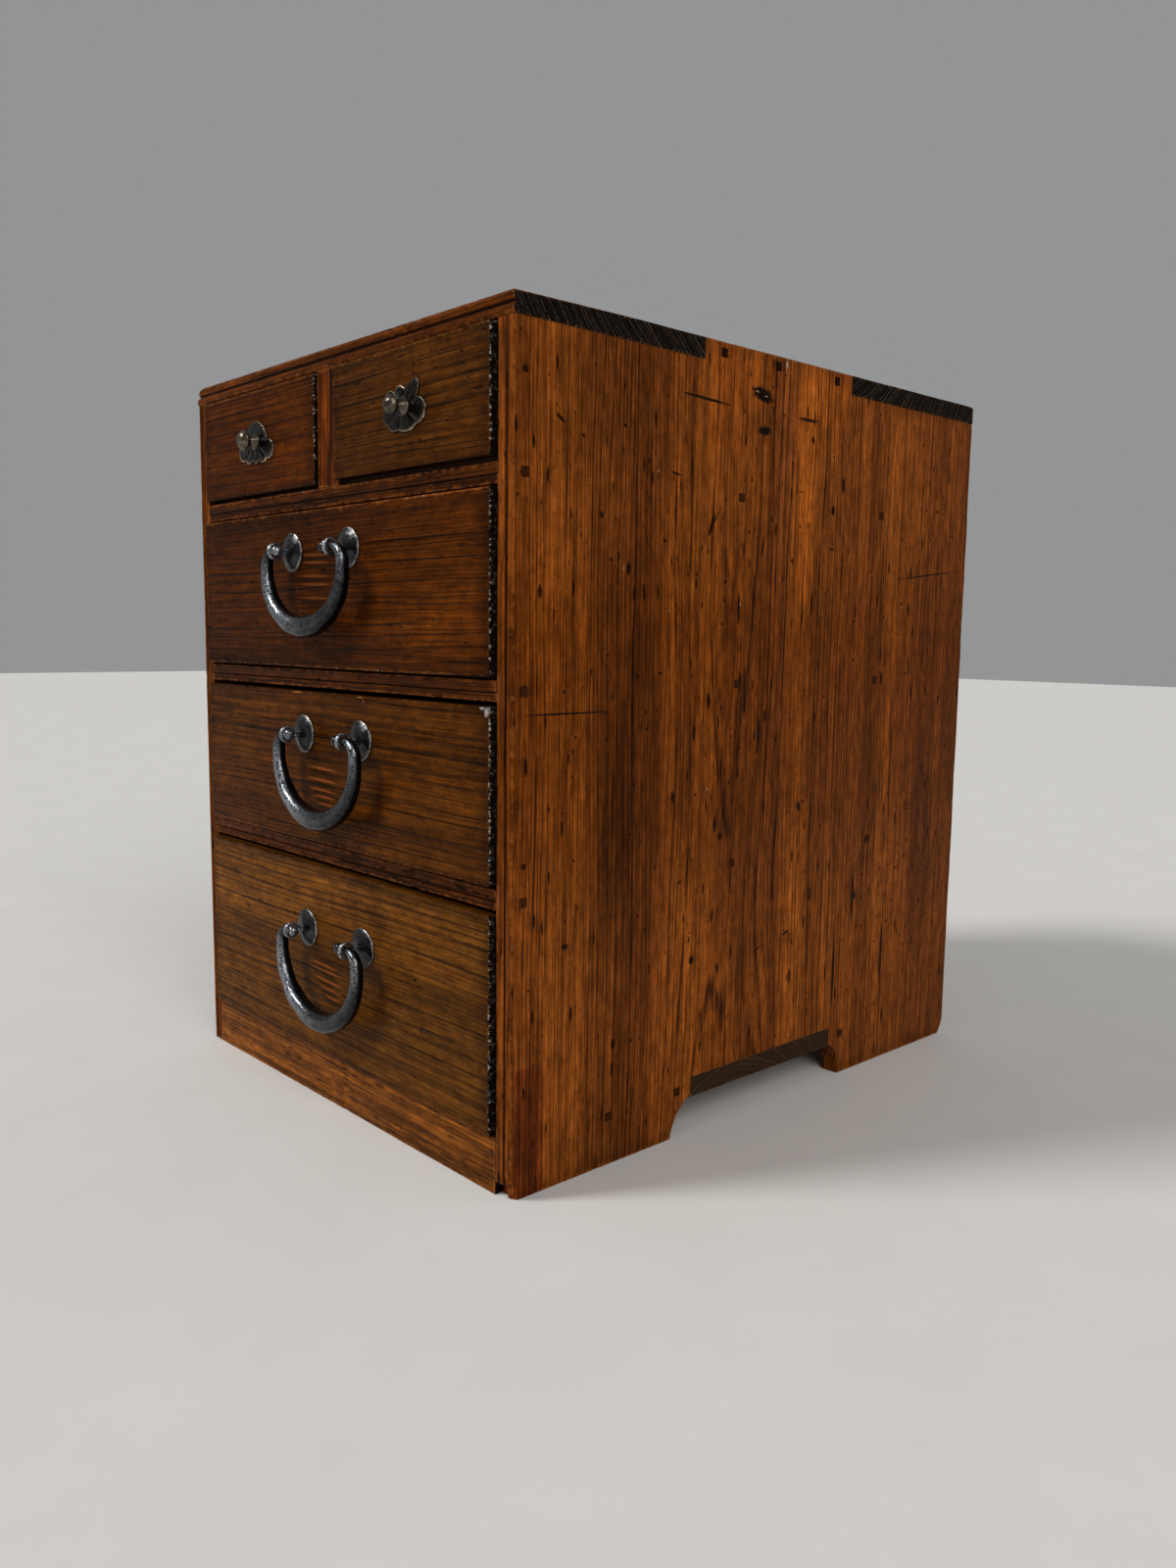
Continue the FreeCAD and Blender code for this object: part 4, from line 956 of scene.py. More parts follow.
SIDE_SCALE = (SIDE_THICKNESS - OUTER_DRAWBACK) / SIDE_THICKNESS  # draws the rings back from the outer face
inner_first = moulded_heights(SIDE_THICKNESS)
outer_first = np.unique(np.round(SIDE_THICKNESS - inner_first, 4))
right_side = worn_prism("right_side_board", "yzx", side_outline(), inner_first * SIDE_SCALE, side_low[0],
                        ends=(0.3, 0.35), corner=0.5, chips=(0.0, 0.55, 0.5), seed=100,
                        reshape=reshape_right, warp=0.1)
left_side = worn_prism("left_side_board", "yzx", side_outline(), outer_first * SIDE_SCALE,
                       -side_high[0] + OUTER_DRAWBACK, ends=(0.35, 0.3), corner=0.5, chips=(0.6, 0.0, 0.5),
                       seed=150, reshape=reshape_left, warp=0.1)
print("side board faces:", len(right_side.data.polygons), len(left_side.data.polygons))

# %% [markdown]
# ## Bands and marks on the sides
#
# The right side is seen most, so it has a record of its own: broad bands that
# make it lighter or darker from front to back and from the floor up, dark knots
# and scribed lines, ink-dark nicks, pale chips, soft stains, and slips, which
# are strips where the figure is a little paler or darker. Two pale spots in a
# gouge near the top are a painted highlight. All of them are given as
# distances back from the front frame and up from the floor.

# %% Marks on the sides


def from_front(stops):
    """Band stops given back from the front frame, moved to the frame's own y."""
    return [(FRONT + where, tint) for where, tint in stops]


def on_side(x, spots, stretch=(1.0, 1.0)):
    """Marks on a side board: (back from the front, up, half lengths, tilt), all longer by a stretch."""
    return [(x, FRONT + back, up, THICK, stretch[0] * half_back, stretch[1] * half_up, tilt)
            for back, up, half_back, half_up, tilt in spots]


RIGHT_BANDS = from_front([
    (0, (1.05, 1.0, 1.0)), (10, (1.0, 0.95, 0.9)), (24, (1.18, 1.15, 1.05)), (48, (0.92, 0.9, 0.9)),
    (66, (0.72, 0.68, 0.72)), (86, (0.88, 0.84, 0.85)), (102, (1.12, 1.1, 1.0)), (130, (0.86, 0.82, 0.8)),
    (156, (0.98, 0.95, 0.9)), (166, (0.92, 0.86, 0.86)), (183, (1.22, 1.2, 1.05)), (202, (1.0, 0.98, 0.92)),
    (236, (0.85, 0.82, 0.82)), (262, (1.12, 1.1, 1.0)), (292, (0.95, 0.9, 0.88)), (333, (0.72, 0.68, 0.68)),
])
RIGHT_RISE = [(0, (1.3, 1.3, 1.3)), (60, (1.45, 1.45, 1.5)), (115, (1.25, 1.25, 1.3)), (150, (1, 0.94, 0.75)),
              (235, (1, 0.92, 0.65)), (290, (1.4, 1.4, 1.45)), (364, (1.62, 1.6, 1.7))]
RIGHT_DARK = on_side(side_high[0], [
    (6, 212, 2.6, 2.6, 0), (63, 262, 1.3, 3.4, 0), (187, 329, 1.3, 2.6, 20), (205, 297, 1.7, 3.0, 0),
    (152, 188, 1.2, 10, 1), (108, 84, 2.0, 2.6, 0), (148, 345, 9.5, 4.0, -10), (150, 329, 5.5, 2.4, 10),
    (109, 338, 19, 0.8, -2.5), (30, 202, 30, 0.5, 0), (295, 269, 35, 0.45, 6.5), (156, 81.5, 6.5, 0.5, 22),
    (178, 86, 4.0, 0.8, 18), (117, 286, 9, 0.5, 58),
])
RIGHT_INK = on_side(side_high[0], stretch=(1.4, 1.2), spots=[
    (5.5, 296, 1.6, 1.8, 0), (6, 335, 1.4, 1.6, 0), (6.5, 141, 1.2, 1.4, 0), (24, 319, 2.6, 0.9, -35),
    (47, 283, 1.0, 1.7, 0), (91, 304, 3.0, 0.6, -10), (115, 284, 1.0, 6.0, -20), (135, 247, 0.9, 8, 2),
    (151, 276, 0.7, 5, -8), (213, 310, 1.1, 4.2, 0), (205, 278, 1.6, 0.8, 0), (190, 250, 0.8, 6, 0),
    (276, 250, 1.0, 3.6, 0), (126, 141, 1.3, 2, 0), (185, 150, 1.4, 3, 15), (235, 98, 0.9, 15, 0),
    (236, 97, 1.6, 2.6, 0), (220, 57, 1.0, 19, 0), (264, 60, 1.0, 19, 0), (29, 104, 1.6, 1.4, 0),
    (183, 338, 7, 0.9, 0), (122, 147, 1.1, 4, 0), (137, 213, 1.1, 5, 0), (106, 191, 1.0, 4, 0),
    (14, 251, 1.0, 3, 0), (58, 55, 1.2, 3, 0), (93, 162, 1.2, 3, 0), (253, 213, 1.1, 4, 0),
])
# Pale spots where chips of bare wood show; the two in the gouge near the top are a painted highlight.
RIGHT_CHIPS_AND_HIGHLIGHT = on_side(side_high[0], [
    (80, 304, 0.35, 0.8, 0), (88, 245, 0.35, 0.7, 0), (116, 164, 0.5, 0.8, 0), (136, 249, 0.35, 1.2, 0),
    (165, 361, 1.1, 2.2, 0), (144, 346, 1.6, 0.4, -8), (150.5, 344.6, 1.2, 0.35, 4), (60, 262, 0.3, 0.8, 0),
])
RIGHT_STAINS = on_side(side_high[0], [
    (40, 330, 62, 46, 0), (50, 354, 60, 10, 0), (270, 356, 52, 8, 0), (10, 25, 9, 34, 0), (6, 212, 6, 7, 0),
    (180, 83, 9, 6, 0), (150, 332, 11, 9, 0), (58, 150, 12, 70, 0), (12, 70, 8, 60, 0),
    (128, 236, 5, 13, 0), (232, 96, 5, 20, 0), (210, 292, 4, 9, 0), (300, 120, 14, 70, 0),
])
RIGHT_SLIPS = [
    ((side_high[0], FRONT + back, up), (THICK, half_back, half_up), tint)
    for back, up, half_back, half_up, tint in (
        (165.5, 250, 7.6, 114, (1.04, 1.06, 1.4)), (183, 306, 6.8, 56, (1.28, 1.24, 1.1)),
        (157.6, 250, 0.55, 112, (0.42, 0.3, 0.3)), (149, 352, 8, 11, (1.22, 1.16, 1.0)),
        (204, 350, 11, 13, (1.2, 1.14, 1.0)), (124, 340, 12, 22, (1.16, 1.1, 1.0)),
        (241, 250, 0.5, 106, (0.6, 0.5, 0.5)), (10, 24, 7.5, 32, (0.66, 0.52, 0.62)),
        (173.8, 250, 0.5, 112, (1.3, 1.28, 1.3)),
    )
]
LEFT_BANDS = from_front([
    (0, (1, 0.95, 0.9)), (60, (0.8, 0.78, 0.78)), (120, (1.1, 1.08, 1)), (190, (0.85, 0.8, 0.8)),
    (250, (1.1, 1.05, 1.0)), (333, (0.75, 0.7, 0.7)),
])
LEFT_RISE = [(0, (1.3, 1.3, 1.3)), (140, (1, 1, 1)), (250, (1.05, 1.05, 1.05)), (364, (1.4, 1.4, 1.4))]
INK, BARE_WOOD_AND_HIGHLIGHT = (22, 10, 5), (176, 150, 124)
QUIRK_INSIDE = BEAD_WIDTH + QUIRK_WIDTH / 2


def quirk_dirt_and_shade(x):
    """The groove of a side's moulding, which is at that x, darkened by dirt and by painted shade."""
    return [(x, FRONT + 1, 150, 0.75, 1.7, THICK, 0)]


right_timber = board_material(
    "right_side_timber", "z", (side_low[0] - 62, FRONT + 132, 0), 1.7, (112, 59, 17), (40, 17, 6),
    mm_box("case_side_right"), lines=1.0, flecks=0.95, clouds=0.7, sway=16, fibres=0.66, relief=0.34,
    bands=((1, RIGHT_BANDS), (2, RIGHT_RISE)), dark_marks=RIGHT_DARK, stains=RIGHT_STAINS, slips=RIGHT_SLIPS,
    lights=[(INK, 0.95, RIGHT_INK), (BARE_WOOD_AND_HIGHLIGHT, 0.7, RIGHT_CHIPS_AND_HIGHLIGHT)],
    seams=quirk_dirt_and_shade(side_high[0] - QUIRK_INSIDE),
)
left_timber = board_material(
    "left_side_timber", "z", (-side_low[0] + 80, FRONT + 210, 0), 1.9, (102, 50, 5), (40, 15, 2),
    mm_box("case_side_left"), lines=0.8, flecks=0.8, clouds=0.8, sway=18, fibres=0.75, relief=0.3,
    bands=((1, LEFT_BANDS), (2, LEFT_RISE)), seams=quirk_dirt_and_shade(-side_high[0] + QUIRK_INSIDE),
    dark_marks=on_side(-side_high[0], [(40, 120, 1, 8, 0), (130, 290, 1.4, 1.6, 0), (220, 90, 0.9, 14, 0),
                                       (270, 240, 20, 0.4, 8), (90, 210, 0.8, 6, 0)]),
    stains=on_side(-side_high[0], [(60, 150, 14, 60, 0), (240, 200, 12, 40, 0)]),
)
print("marks on the right side:", len(RIGHT_DARK + RIGHT_INK + RIGHT_CHIPS_AND_HIGHLIGHT + RIGHT_STAINS))
dress(right_side, "case", right_timber, "side_wood", "case_side_right")
dress(left_side, "case", left_timber, "side_wood", "case_side_left")

# %% [markdown]
# ## The top board
#
# The top lies on the sides and is notched round their fingers. Its front edge
# has the same bead as the sides, turned on its back. Years of handling have
# rounded its two front corners, the left one most, and the rounding fades
# towards the back. A bevel has one width all along, so the points are drawn
# in by a radius that shrinks with the distance from the front.

# %% Top board
CORNER_ROUND = {-1: 8.5, 1: 3.0}
CORNER_FADE = 70.0
CORNER_REACH = 24.0
top_thickness = top_high[2] - top_low[2]


def top_outline():
    """Outline of the top in x and y, anticlockwise, notched for both fingers."""
    half, inner = top_high[0], side_low[0]
    first, last = FRONT + FINGER_START, FRONT + FINGER_END
    right = [(half, FRONT, True), (half, first, True), (inner, first, True), (inner, last, True),
             (half, last, True), (half, top_high[1], True)]
    return right + [(-x, y, eased) for x, y, eased in right[::-1]]


def reshape_top(x, y, z):
    """The top's moulding and the two rounded corners that fade towards the back."""
    below = top_high[2] - z
    depth = moulding(below, top_thickness, 0.9)
    knock = knocks(x, 400, (3.3, 1), (11.0, 0.9), (52.0, 0.6))
    depth = depth + 0.08 * (1 + ripple(x, 29.0, 403)) + 0.75 * np.clip(knock - 0.7, 0, 1) * (below < 6)
    y = y + depth * fade(y - FRONT, MOULDING_REACH)
    for side, full in CORNER_ROUND.items():
        near = rise(side * x - (top_high[0] - CORNER_REACH), CORNER_REACH)
        x = x - side * round_over(below, full * fade(y - FRONT, CORNER_FADE)) * near
    return x, y, z


def on_top(spots):
    """Marks on the top: (across, back, half lengths, tilt)."""
    return [(x, y, top_high[2], half_x, half_y, THICK, tilt) for x, y, half_x, half_y, tilt in spots]


top_piece = worn_prism("top_board_worn", "xyz", top_outline(), moulded_heights(top_thickness), top_low[2],
                       ends=(0.3, 0.5), corner=0.5, chips=(0.2, 0.7, 0.5), seed=200, reshape=reshape_top,
                       warp=0.08)
TOP_BANDS = from_front([
    (0, (0.85, 0.8, 0.8)), (12, (0.95, 0.9, 0.88)), (70, (1.12, 1.1, 1.0)), (130, (0.85, 0.82, 0.8)),
    (210, (1.08, 1.05, 1.0)), (333, (0.8, 0.75, 0.75)),
])
top_timber = board_material(
    "top_timber", "x", (-top_low[2] - 95, 10, 0), 1.5, (114, 58, 9), (44, 17, 3),
    ((-top_high[0], FRONT, top_low[2]), top_high), lines=0.8, flecks=0.7, clouds=0.7, sway=16, relief=0.25,
    bands=[(1, TOP_BANDS)], glint=0.6,
    dark_marks=on_top([(-60, 40, 9, 0.5, 20), (35, -60, 2, 2, 0), (80, 90, 14, 0.5, -35), (-90, -90, 5, 1, 0),
                       (10, 120, 18, 0.4, 8)]),
    stains=on_top([(-50, 60, 34, 26, 0), (70, -20, 28, 40, 0)]),
    # dirt and painted shade in the groove of the top's moulding
    seams=[(0, FRONT + 1, top_high[2] - QUIRK_INSIDE, THICK, 1.7, 0.7, 0)],
)
dress(top_piece, "case", top_timber, "side_wood", "top_board")
print("top faces:", len(top_piece.data.polygons))

# %% [markdown]
# ## Rails, stile and base rail
#
# These narrow pieces frame the drawers. A rail has a fine groove scribed near
# its lower arris, so light and shade split it into two bands. A bump map
# could hint at it, but only real points catch the light from every side.
# Each piece is a section carried along its length, a little wavy where the
# plane chattered and hands have worn it.

# %% Front frame
WAVE_DEPTH, CHIP_DEPTH = 0.26, 0.8
WAVE_REACH, WAVE_STEP = 5.0, 2.5  # how far in the waves are felt, and the way between rings
GROOVE = ((0, 0.7), (0.7, 0.5), (0.7, 0.4), (0.25, 0.1))  # (inward, up from its floor), from the top down


def frame_section(low, high, depth, groove=None):
    """Section of a front piece as corners in y and z, with an optional groove above its underside."""
    cut = [(FRONT + inward, low + groove + above, False) for inward, above in GROOVE] if groove else []
    setback = GROOVE[-1][0] if groove else 0
    return [(FRONT, high, True), *cut, (FRONT + setback, low, True), (FRONT + depth, low, True),
            (FRONT + depth, high, True)]


def wavy_front(seed):
    """A reshape that waves and chips the front face of a piece along its length."""

    def bend(y, z, x):
        knock = knocks(x, seed, (3.7, 1), (13.0, 0.8), (41.0, 0.5))
        wave = 0.5 * WAVE_DEPTH * (1 + ripple(x + 3 * z, 31.0, seed + 3)) + 0.15
        back = wave + CHIP_DEPTH * np.clip(knock - 1.1, 0, 1)
        return y + back * fade(y - FRONT, WAVE_REACH), z, x

    return bend


RAIL = dict(lift=30, ring=1.6, pale=(80, 38, 6), dark=(26, 10, 3), flecks=0.9)
BASE_RAIL = dict(lift=4, ring=2.2, pale=(128, 72, 21), dark=(50, 23, 5), flecks=0.55)
RAILS = (("rail_upper", 3.4, 500, RAIL), ("rail_middle", 3.4, 520, RAIL), ("rail_lower", 3.4, 540, RAIL),
         ("base_rail", None, 560, BASE_RAIL))
for label, groove, seed, look in RAILS:
    low, high = mm_box(label)
    heights = stack_heights(high[0] - low[0], step=WAVE_STEP)
    section = frame_section(low[2], high[2], high[1] - low[1], groove)
    rail = worn_prism(f"{label}_worn", "yzx", section, heights, low[0], ends=(0.2, 0.2), corner=0.55,
                      chips=(0.2, 0.2, 0.6), seed=seed, spacing=1.6, reshape=wavy_front(seed + 5), warp=0.05)
    rail_timber = board_material(
        f"{label}_timber", "x", (-low[2] + look["lift"], FRONT + 90, 0), look["ring"], look["pale"],
        look["dark"], (low, high), lines=1.0, flecks=look["flecks"], clouds=1.2, sway=7, fibres=1.0,
        relief=0.9, rubbed=0.4,
        # dirt and painted shade in the scribed groove
        seams=[(0, FRONT + 1, low[2] + groove + 0.4, THICK, 1.6, 0.5, 0)] if groove else (),
    )
    dress(rail, "case", rail_timber, "frame_wood", label)

stile_low, stile_high = mm_box("divider_stile")


def wavy_stile(x, y, z):
    """The stile's front face, waved along its height."""
    back = 0.12 + 0.1 * (1 + ripple(z + 2 * x, 19.0, 581))
    return x, y + back * fade(y - FRONT, WAVE_REACH), z


stile = worn_prism("divider_stile_worn", "xyz", rectangle((stile_low[0], FRONT), stile_high),
                   stack_heights(stile_high[2] - stile_low[2], step=WAVE_STEP), stile_low[2], ends=(0.1, 0.1),
                   corner=0.6, chips=(0, 0, 0.6), seed=580, spacing=1.8, reshape=wavy_stile, warp=0.05)
stile_timber = board_material(
    "stile_timber", "z", (-1, FRONT + 55, 0), 1.4, (98, 44, 6), (30, 10, 3), (stile_low, stile_high),
    lines=1.0, flecks=0.6, sway=5, relief=0.3, rubbed=0.4, fibres=1.2,
)
dress(stile, "case", stile_timber, "frame_wood", "divider_stile")
print("front frame pieces:", len(RAILS) + 1)

# %% [markdown]
# ## Drawer fronts
#
# The fronts are darker and greyer than the case, and cut so that the hard
# late wood stands up in horizontal ridges after years of wiping. Their right
# ends show end grain, black with old polish and badly knocked. Behind the lip
# the ends are rebated for the drawer's sides. The sum that draws the ends in
# behind the lip is a compression of the last stretch of each ring.

# %% Five looks
# pith and lift place the tree's middle behind and above a front; its tones run from its left to its right,
# lighter and darker, partly stain and partly painted light and shade;
# planed is how much is off its lower and its upper edge, which leaves the wide dark gaps.
DRAWERS = {
    "drawer_top_left": dict(seed=600, pale=(80, 36, 2), dark=(30, 12, 1), pith=60, ring=2.7, lift=95,
                            tones=(0.85, 1.0, 1.1, 0.9), planed=(0.5, 0)),
    "drawer_top_right": dict(seed=630, pale=(82, 44, 8), dark=(28, 14, 4), pith=75, ring=2.9, lift=-120,
                             tones=(0.85, 1.0, 1.05, 0.8), planed=(0.9, 0)),
    "drawer_upper": dict(seed=660, pale=(74, 34, 2), dark=(27, 11, 1), pith=70, ring=2.6, lift=90,
                         tones=(0.75, 0.9, 1.25, 0.8)),
    "drawer_middle": dict(seed=690, pale=(81, 42, 4), dark=(28, 13, 2), pith=64, ring=3.0, lift=-85,
                          flecks=0.55, tones=(0.88, 1.0, 1.12, 0.8), planed=(0, 0.8)),
    "drawer_lower": dict(seed=720, pale=(98, 57, 13), dark=(38, 20, 4), pith=85, ring=2.7, lift=110,
                         flecks=0.4, tones=(1.08, 1.0, 0.95, 0.75), planed=(0, 0.8)),
}
PULL_PLACES = {
    joint["name"].replace("_bail_swing", ""): np.array(joint["pos_m"]) / MM
    for joint in frame["joints"] if joint["name"].endswith("bail_swing")
}
KNOB_PLACES = {"drawer_top_left": (-66.8, 328.25), "drawer_top_right": (67.3, 328.25)}
BAIL_DROP = {"drawer_upper": 36.0, "drawer_middle": 39.0, "drawer_lower": 40.0}
print("bail hinges (mm):", {k: v.round(1).tolist() for k, v in PULL_PLACES.items()})

# %% [markdown]
# ## Where hands go on a front
#
# Fingers that reach under a bail polish the raised grain below it. A few
# ridges there carry a painted reddish highlight, with painted shade in the
# hollow under each. Round each pull the front is darker with dirt, and a
# painted shadow of each bail falls to its right and below. Above, the upper
# drawer has a paler strip and a crack, and the middle one small chips along
# its top edge. Painting an image would do it too, but ellipses placed in
# millimetres stay sharp from close by and move with their drawer.

# %% Marks on the fronts


def on_front(spots):
    """Marks on the drawer fronts: (across, up, half lengths, tilt)."""
    return [(x, FRONT - 2, z, half_x, THICK, half_z, tilt) for x, z, half_x, half_z, tilt in spots]


RIDGE_HIGHLIGHT = (142, 76, 34)  # a painted highlight on a ridge that fingers polish under a bail
RIDGE_SHADE = (30, 14, 5)  # painted shade on the shadow side of such a ridge
RIDGES = {
    "drawer_upper": (0.42, ((-8, 270, 15), (-8, 266.5, 16), (-10, 260.2, 20), (-9, 256.2, 18),
                            (-9, 249.8, 19))),
    "drawer_middle": (0.8, ((-5, 168.5, 15), (-5, 162.8, 16), (-5, 158, 14), (-3, 154.8, 11),
                            (-2, 151.2, 9))),
    "drawer_lower": (0.75, ((-7, 71, 14), (-4, 68.2, 17), (-2, 63.4, 17), (0, 59.4, 13), (2, 55.6, 9))),
}
FRONT_LIGHTS = {
    label: [(RIDGE_HIGHLIGHT, strength, on_front([(x, z, half, 0.75, 1.5) for x, z, half in ridges])),
            (RIDGE_SHADE, 0.7, on_front([(x - 3, z - 1.7, half * 0.8, 0.9, 1.5) for x, z, half in ridges]))]
    for label, (strength, ridges) in RIDGES.items()
}
NEW_CHIP, OLD_CHIP = (158, 154, 150), (176, 112, 62)
FRONT_LIGHTS["drawer_middle"] += [
    (NEW_CHIP, 0.8, on_front([(123.6, 202.9, 1.8, 2.4, 20), (120.5, 204.3, 2.2, 0.7, 0)])),
    (OLD_CHIP, 0.7, on_front([(32, 203, 0.4, 1.3, 0), (29, 204.4, 3, 0.4, 0), (-28, 204.4, 6, 0.5, 0)])),
]
FRONT_SLIPS = {"drawer_upper": [((62, FRONT, 290), (61.5, THICK, 2.2), (1.7, 1.55, 1.5)),
                                ((0, FRONT, 288), (0.35, THICK, 3.4), (0.3, 0.3, 0.3))]}


def front_stains_and_shadow(label, face):
    """Where hands have darkened a front, round its bail or round its knob, and a painted shadow to the right
    of and below a bail.
    """
    if label in KNOB_PLACES:
        knob_x, knob_z = KNOB_PLACES[label]
        return [(knob_x, face, knob_z - 1, 26, THICK, 15, 0)]
    centre, drop = PULL_PLACES[label], BAIL_DROP[label]
    # Dirt round the bail; the second mark, to its right and below, is a painted shadow of the bail.
    return [(centre[0], face, centre[2] - drop * 0.45, 40, THICK, 29, 0),
            (centre[0] + 36, face, centre[2] - drop * 0.6, 16, THICK, 16, 0)]


def front_dents(label, face, top):
    """The few dents that are deep enough to show in a front's relief."""
    return {
        "drawer_middle": [(-95, face, 150, 1.2, THICK, 0.7, 0), (-33, face, top, 3.5, THICK, 1.0, 0),
                          (27, face, top, 2.5, THICK, 1.0, 0)],
        "drawer_lower": [(72, face, 81, 1.6, THICK, 0.8, 0), (77, face, 60, 0.5, THICK, 3.2, 8)],
    }.get(label, [])


print("polished ridges:", sum(len(ridges) for _, ridges in RIDGES.values()))

# %% Drawer fronts
FRONT_LIP, REBATE, REBATE_REACH = 5.5, 7.4, 30.0
drawer_faces = {}


def reshape_drawer(low, high, seed, planed):
    """Rebates behind the lip, a ragged right end, and edges planed off below and above."""
    half = (high[0] - low[0]) / 2
    middle = (high[0] + low[0]) / 2

    def bend(x, z, y):
        away = x - middle
        behind = (y - low[1] > FRONT_LIP).astype(float)
        x = x - np.sign(away) * REBATE * behind * rise(np.abs(away) - (half - REBATE_REACH), REBATE_REACH)
        knock = knocks(z, seed, (2.1, 1), (5.3, 0.9), (17.0, 0.5))
        ragged = 0.9 * np.clip(knock - 0.35, 0, 1.2) * fade(y - low[1], 2.6)
        x = x - ragged * rise(away - (half - 4), 4)
        raised = (planed[0] + 0.25 * (1 + ripple(x, 61.0, seed + 4))) * rise(low[2] + 6 - z, 6)
        lowered = planed[1] * (1 + 0.2 * ripple(x, 83.0, seed + 6)) * rise(z - high[2] + 6, 6)
        return x, z + raised - lowered, y

    return bend


for label, look in DRAWERS.items():
    low, high = mm_box(f"{label}_front")
    drawer_faces[label] = low[1]
    planed = look.get("planed", (0, 0))
    heights = stack_heights(high[1] - low[1], (FRONT_LIP, FRONT_LIP + 0.05, 3.0, 4.2))
    front = worn_prism(f"{label}_front_worn", "xzy", rectangle(low, high, 0, 2), heights, low[1],
                       ends=(0.45, 0.2), corner=0.5, chips=(0.75, 0.1, 0.6), seed=look["seed"], spacing=1.5,
                       warp=0.1, reshape=reshape_drawer(low, high, look["seed"] + 5, planed))
    # A painted shade, near black, lies along an underside that is planed off, because light would reach it
    # there, so that the gap under the front reads dark.
    underside = [(0, low[1], low[2] + planed[0] - 0.3, THICK, THICK, 1.4, 0)] if planed[0] else ()
    places = (low[0] + 3, (low[0] + high[0]) / 2, high[0] - 12, high[0] - 2)
    # The tones along a front: partly stain, partly painted light and shade.
    tones = [(where, (tone, tone, tone)) for where, tone in zip(places, look["tones"])]
    timber_material = board_material(
        f"{label}_timber", "x", (-(low[2] + high[2]) / 2 + look["lift"], low[1] + look["pith"], 0),
        look["ring"], look["pale"], look["dark"], (low, (high[0], low[1] + 60, high[2])), lines=0.95,
        flecks=look.get("flecks", 0.8), clouds=0.9, sway=14, fibres=0.45, relief=0.9, gloss=0.015, glint=0.5,
        rubbed=0.4, rubbed_colour=(124, 70, 22), end_colour=(16, 11, 8), end_lines=0.5, bands=[(0, tones)],
        stains=front_stains_and_shadow(label, low[1]), dark_marks=front_dents(label, low[1], high[2]), seams=underside,
        slips=FRONT_SLIPS.get(label, ()), lights=FRONT_LIGHTS.get(label, ()), knocked=high[0],
    )
    dress(front, label, timber_material, "drawer_front_wood", f"{label}_front")
print("drawer faces (mm):", {k: round(v, 1) for k, v in drawer_faces.items()})

# %% [markdown]
# ## Forged iron
#
# The pulls are forged: drawn out under a hammer, blackened, then rubbed
# bright again wherever fingers pass. A hammer leaves shallow facets a few
# millimetres wide, so the iron group gives a bump from rounded cells and a
# finer pitting, and two tones: blue-black scale and bare grey metal. Real
# dents would need far more points than the eye can tell from a bump.

# %% Iron group and material
HAMMER_DEPTH = 0.0006
iron, given, gives = shader_group(
    "forged_iron",
    [("Place", "Vector", (0, 0, 0)), ("Facet", "Float", 3.2), ("Bright", "Float", 0.4),
     ("Worn", "Float", 0.0), ("Scale", "Color", (0.02, 0.02, 0.022, 1)),
     ("Metal", "Color", (0.3, 0.27, 0.25, 1))],
    [("Color", "Color"), ("Roughness", "Float"), ("Height", "Float")],
)
place = given["Place"]
waved = noise(place, (0.3, 0.3, 0.3), 2)
bent = vector_calc("ADD", scale(place, calc("DIVIDE", 1.0, given["Facet"])), waved)
facet = node("TexVoronoi", {"Vector": bent, "Scale": 1.0, "Smoothness": 0.6}, feature="SMOOTH_F1")
pits = noise(place, (0.9, 0.9, 0.9), 5, 0.7)
dull = scale(given["Scale"], ease(noise(place, (0.28, 0.28, 0.28), 4, 0.65), 0.35, 0.7, 0.6, 1.5))
bare = ease(pits + facet * -0.35, 0.34, 0.60) * given["Bright"]
# The stored number brightens the metal: wear, and on bails and domes also a painted highlight.
rim_wear_and_highlight = given["Worn"] * ease(pits, 0.40, 0.60, 0.12, 1.0)
plug(gives, {
    "Color": mix(calc("MAXIMUM", bare, rim_wear_and_highlight), dull, given["Metal"]),
    "Roughness": scaled_add(pits, 0.36, scaled_add(rim_wear_and_highlight, 0.14, 0.03)),
    "Height": scaled_add(facet, -1.0, pits * 0.6),
})


def iron_material(name, facet_size, bright, strength, dull_tone, bare_tone):
    """Forged iron with facets of a size, a share of bare metal, and bright metal where a piece says so: wear,
    and on some pieces a painted highlight.
    """
    material, shader, _, place = new_material(name)
    stored = material.node_tree.nodes.new("ShaderNodeAttribute")
    stored.attribute_name = "worn"
    look = node("Group", {"Place": place, "Facet": facet_size, "Bright": bright,
                          "Worn": Wire(stored.outputs["Fac"]), "Scale": paint(*dull_tone),
                          "Metal": paint(*bare_tone)}, node_tree=iron)
    bump = node("Bump", {"Height": look.out("Height"), "Strength": strength, "Distance": HAMMER_DEPTH})
    plug(shader, {"Base Color": look, "Roughness": look.out("Roughness"), "Metallic": 0.9, "Normal": bump})
    return material


def wear(obj, values):
    """Store how far each point of a piece is rubbed bright, from 0 to 1."""
    stored = obj.data.attributes.new("worn", "FLOAT", "POINT")
    stored.data.foreach_set("value", np.asarray(values, np.float32).ravel())


bail_iron = iron_material("bail_iron", 3.4, 0.06, 0.26, (34, 35, 38), (200, 206, 214))
dome_iron = iron_material("dome_iron", 3.0, 0.05, 0.36, (50, 50, 52), (170, 166, 160))
plate_iron = iron_material("plate_iron", 2.4, 0.02, 0.34, (30, 25, 21), (200, 176, 142))
knob_iron = iron_material("knob_iron", 3.0, 0.22, 0.30, (84, 76, 66), (210, 192, 166))
print("iron finishes:", bail_iron.name, dome_iron.name, plate_iron.name)

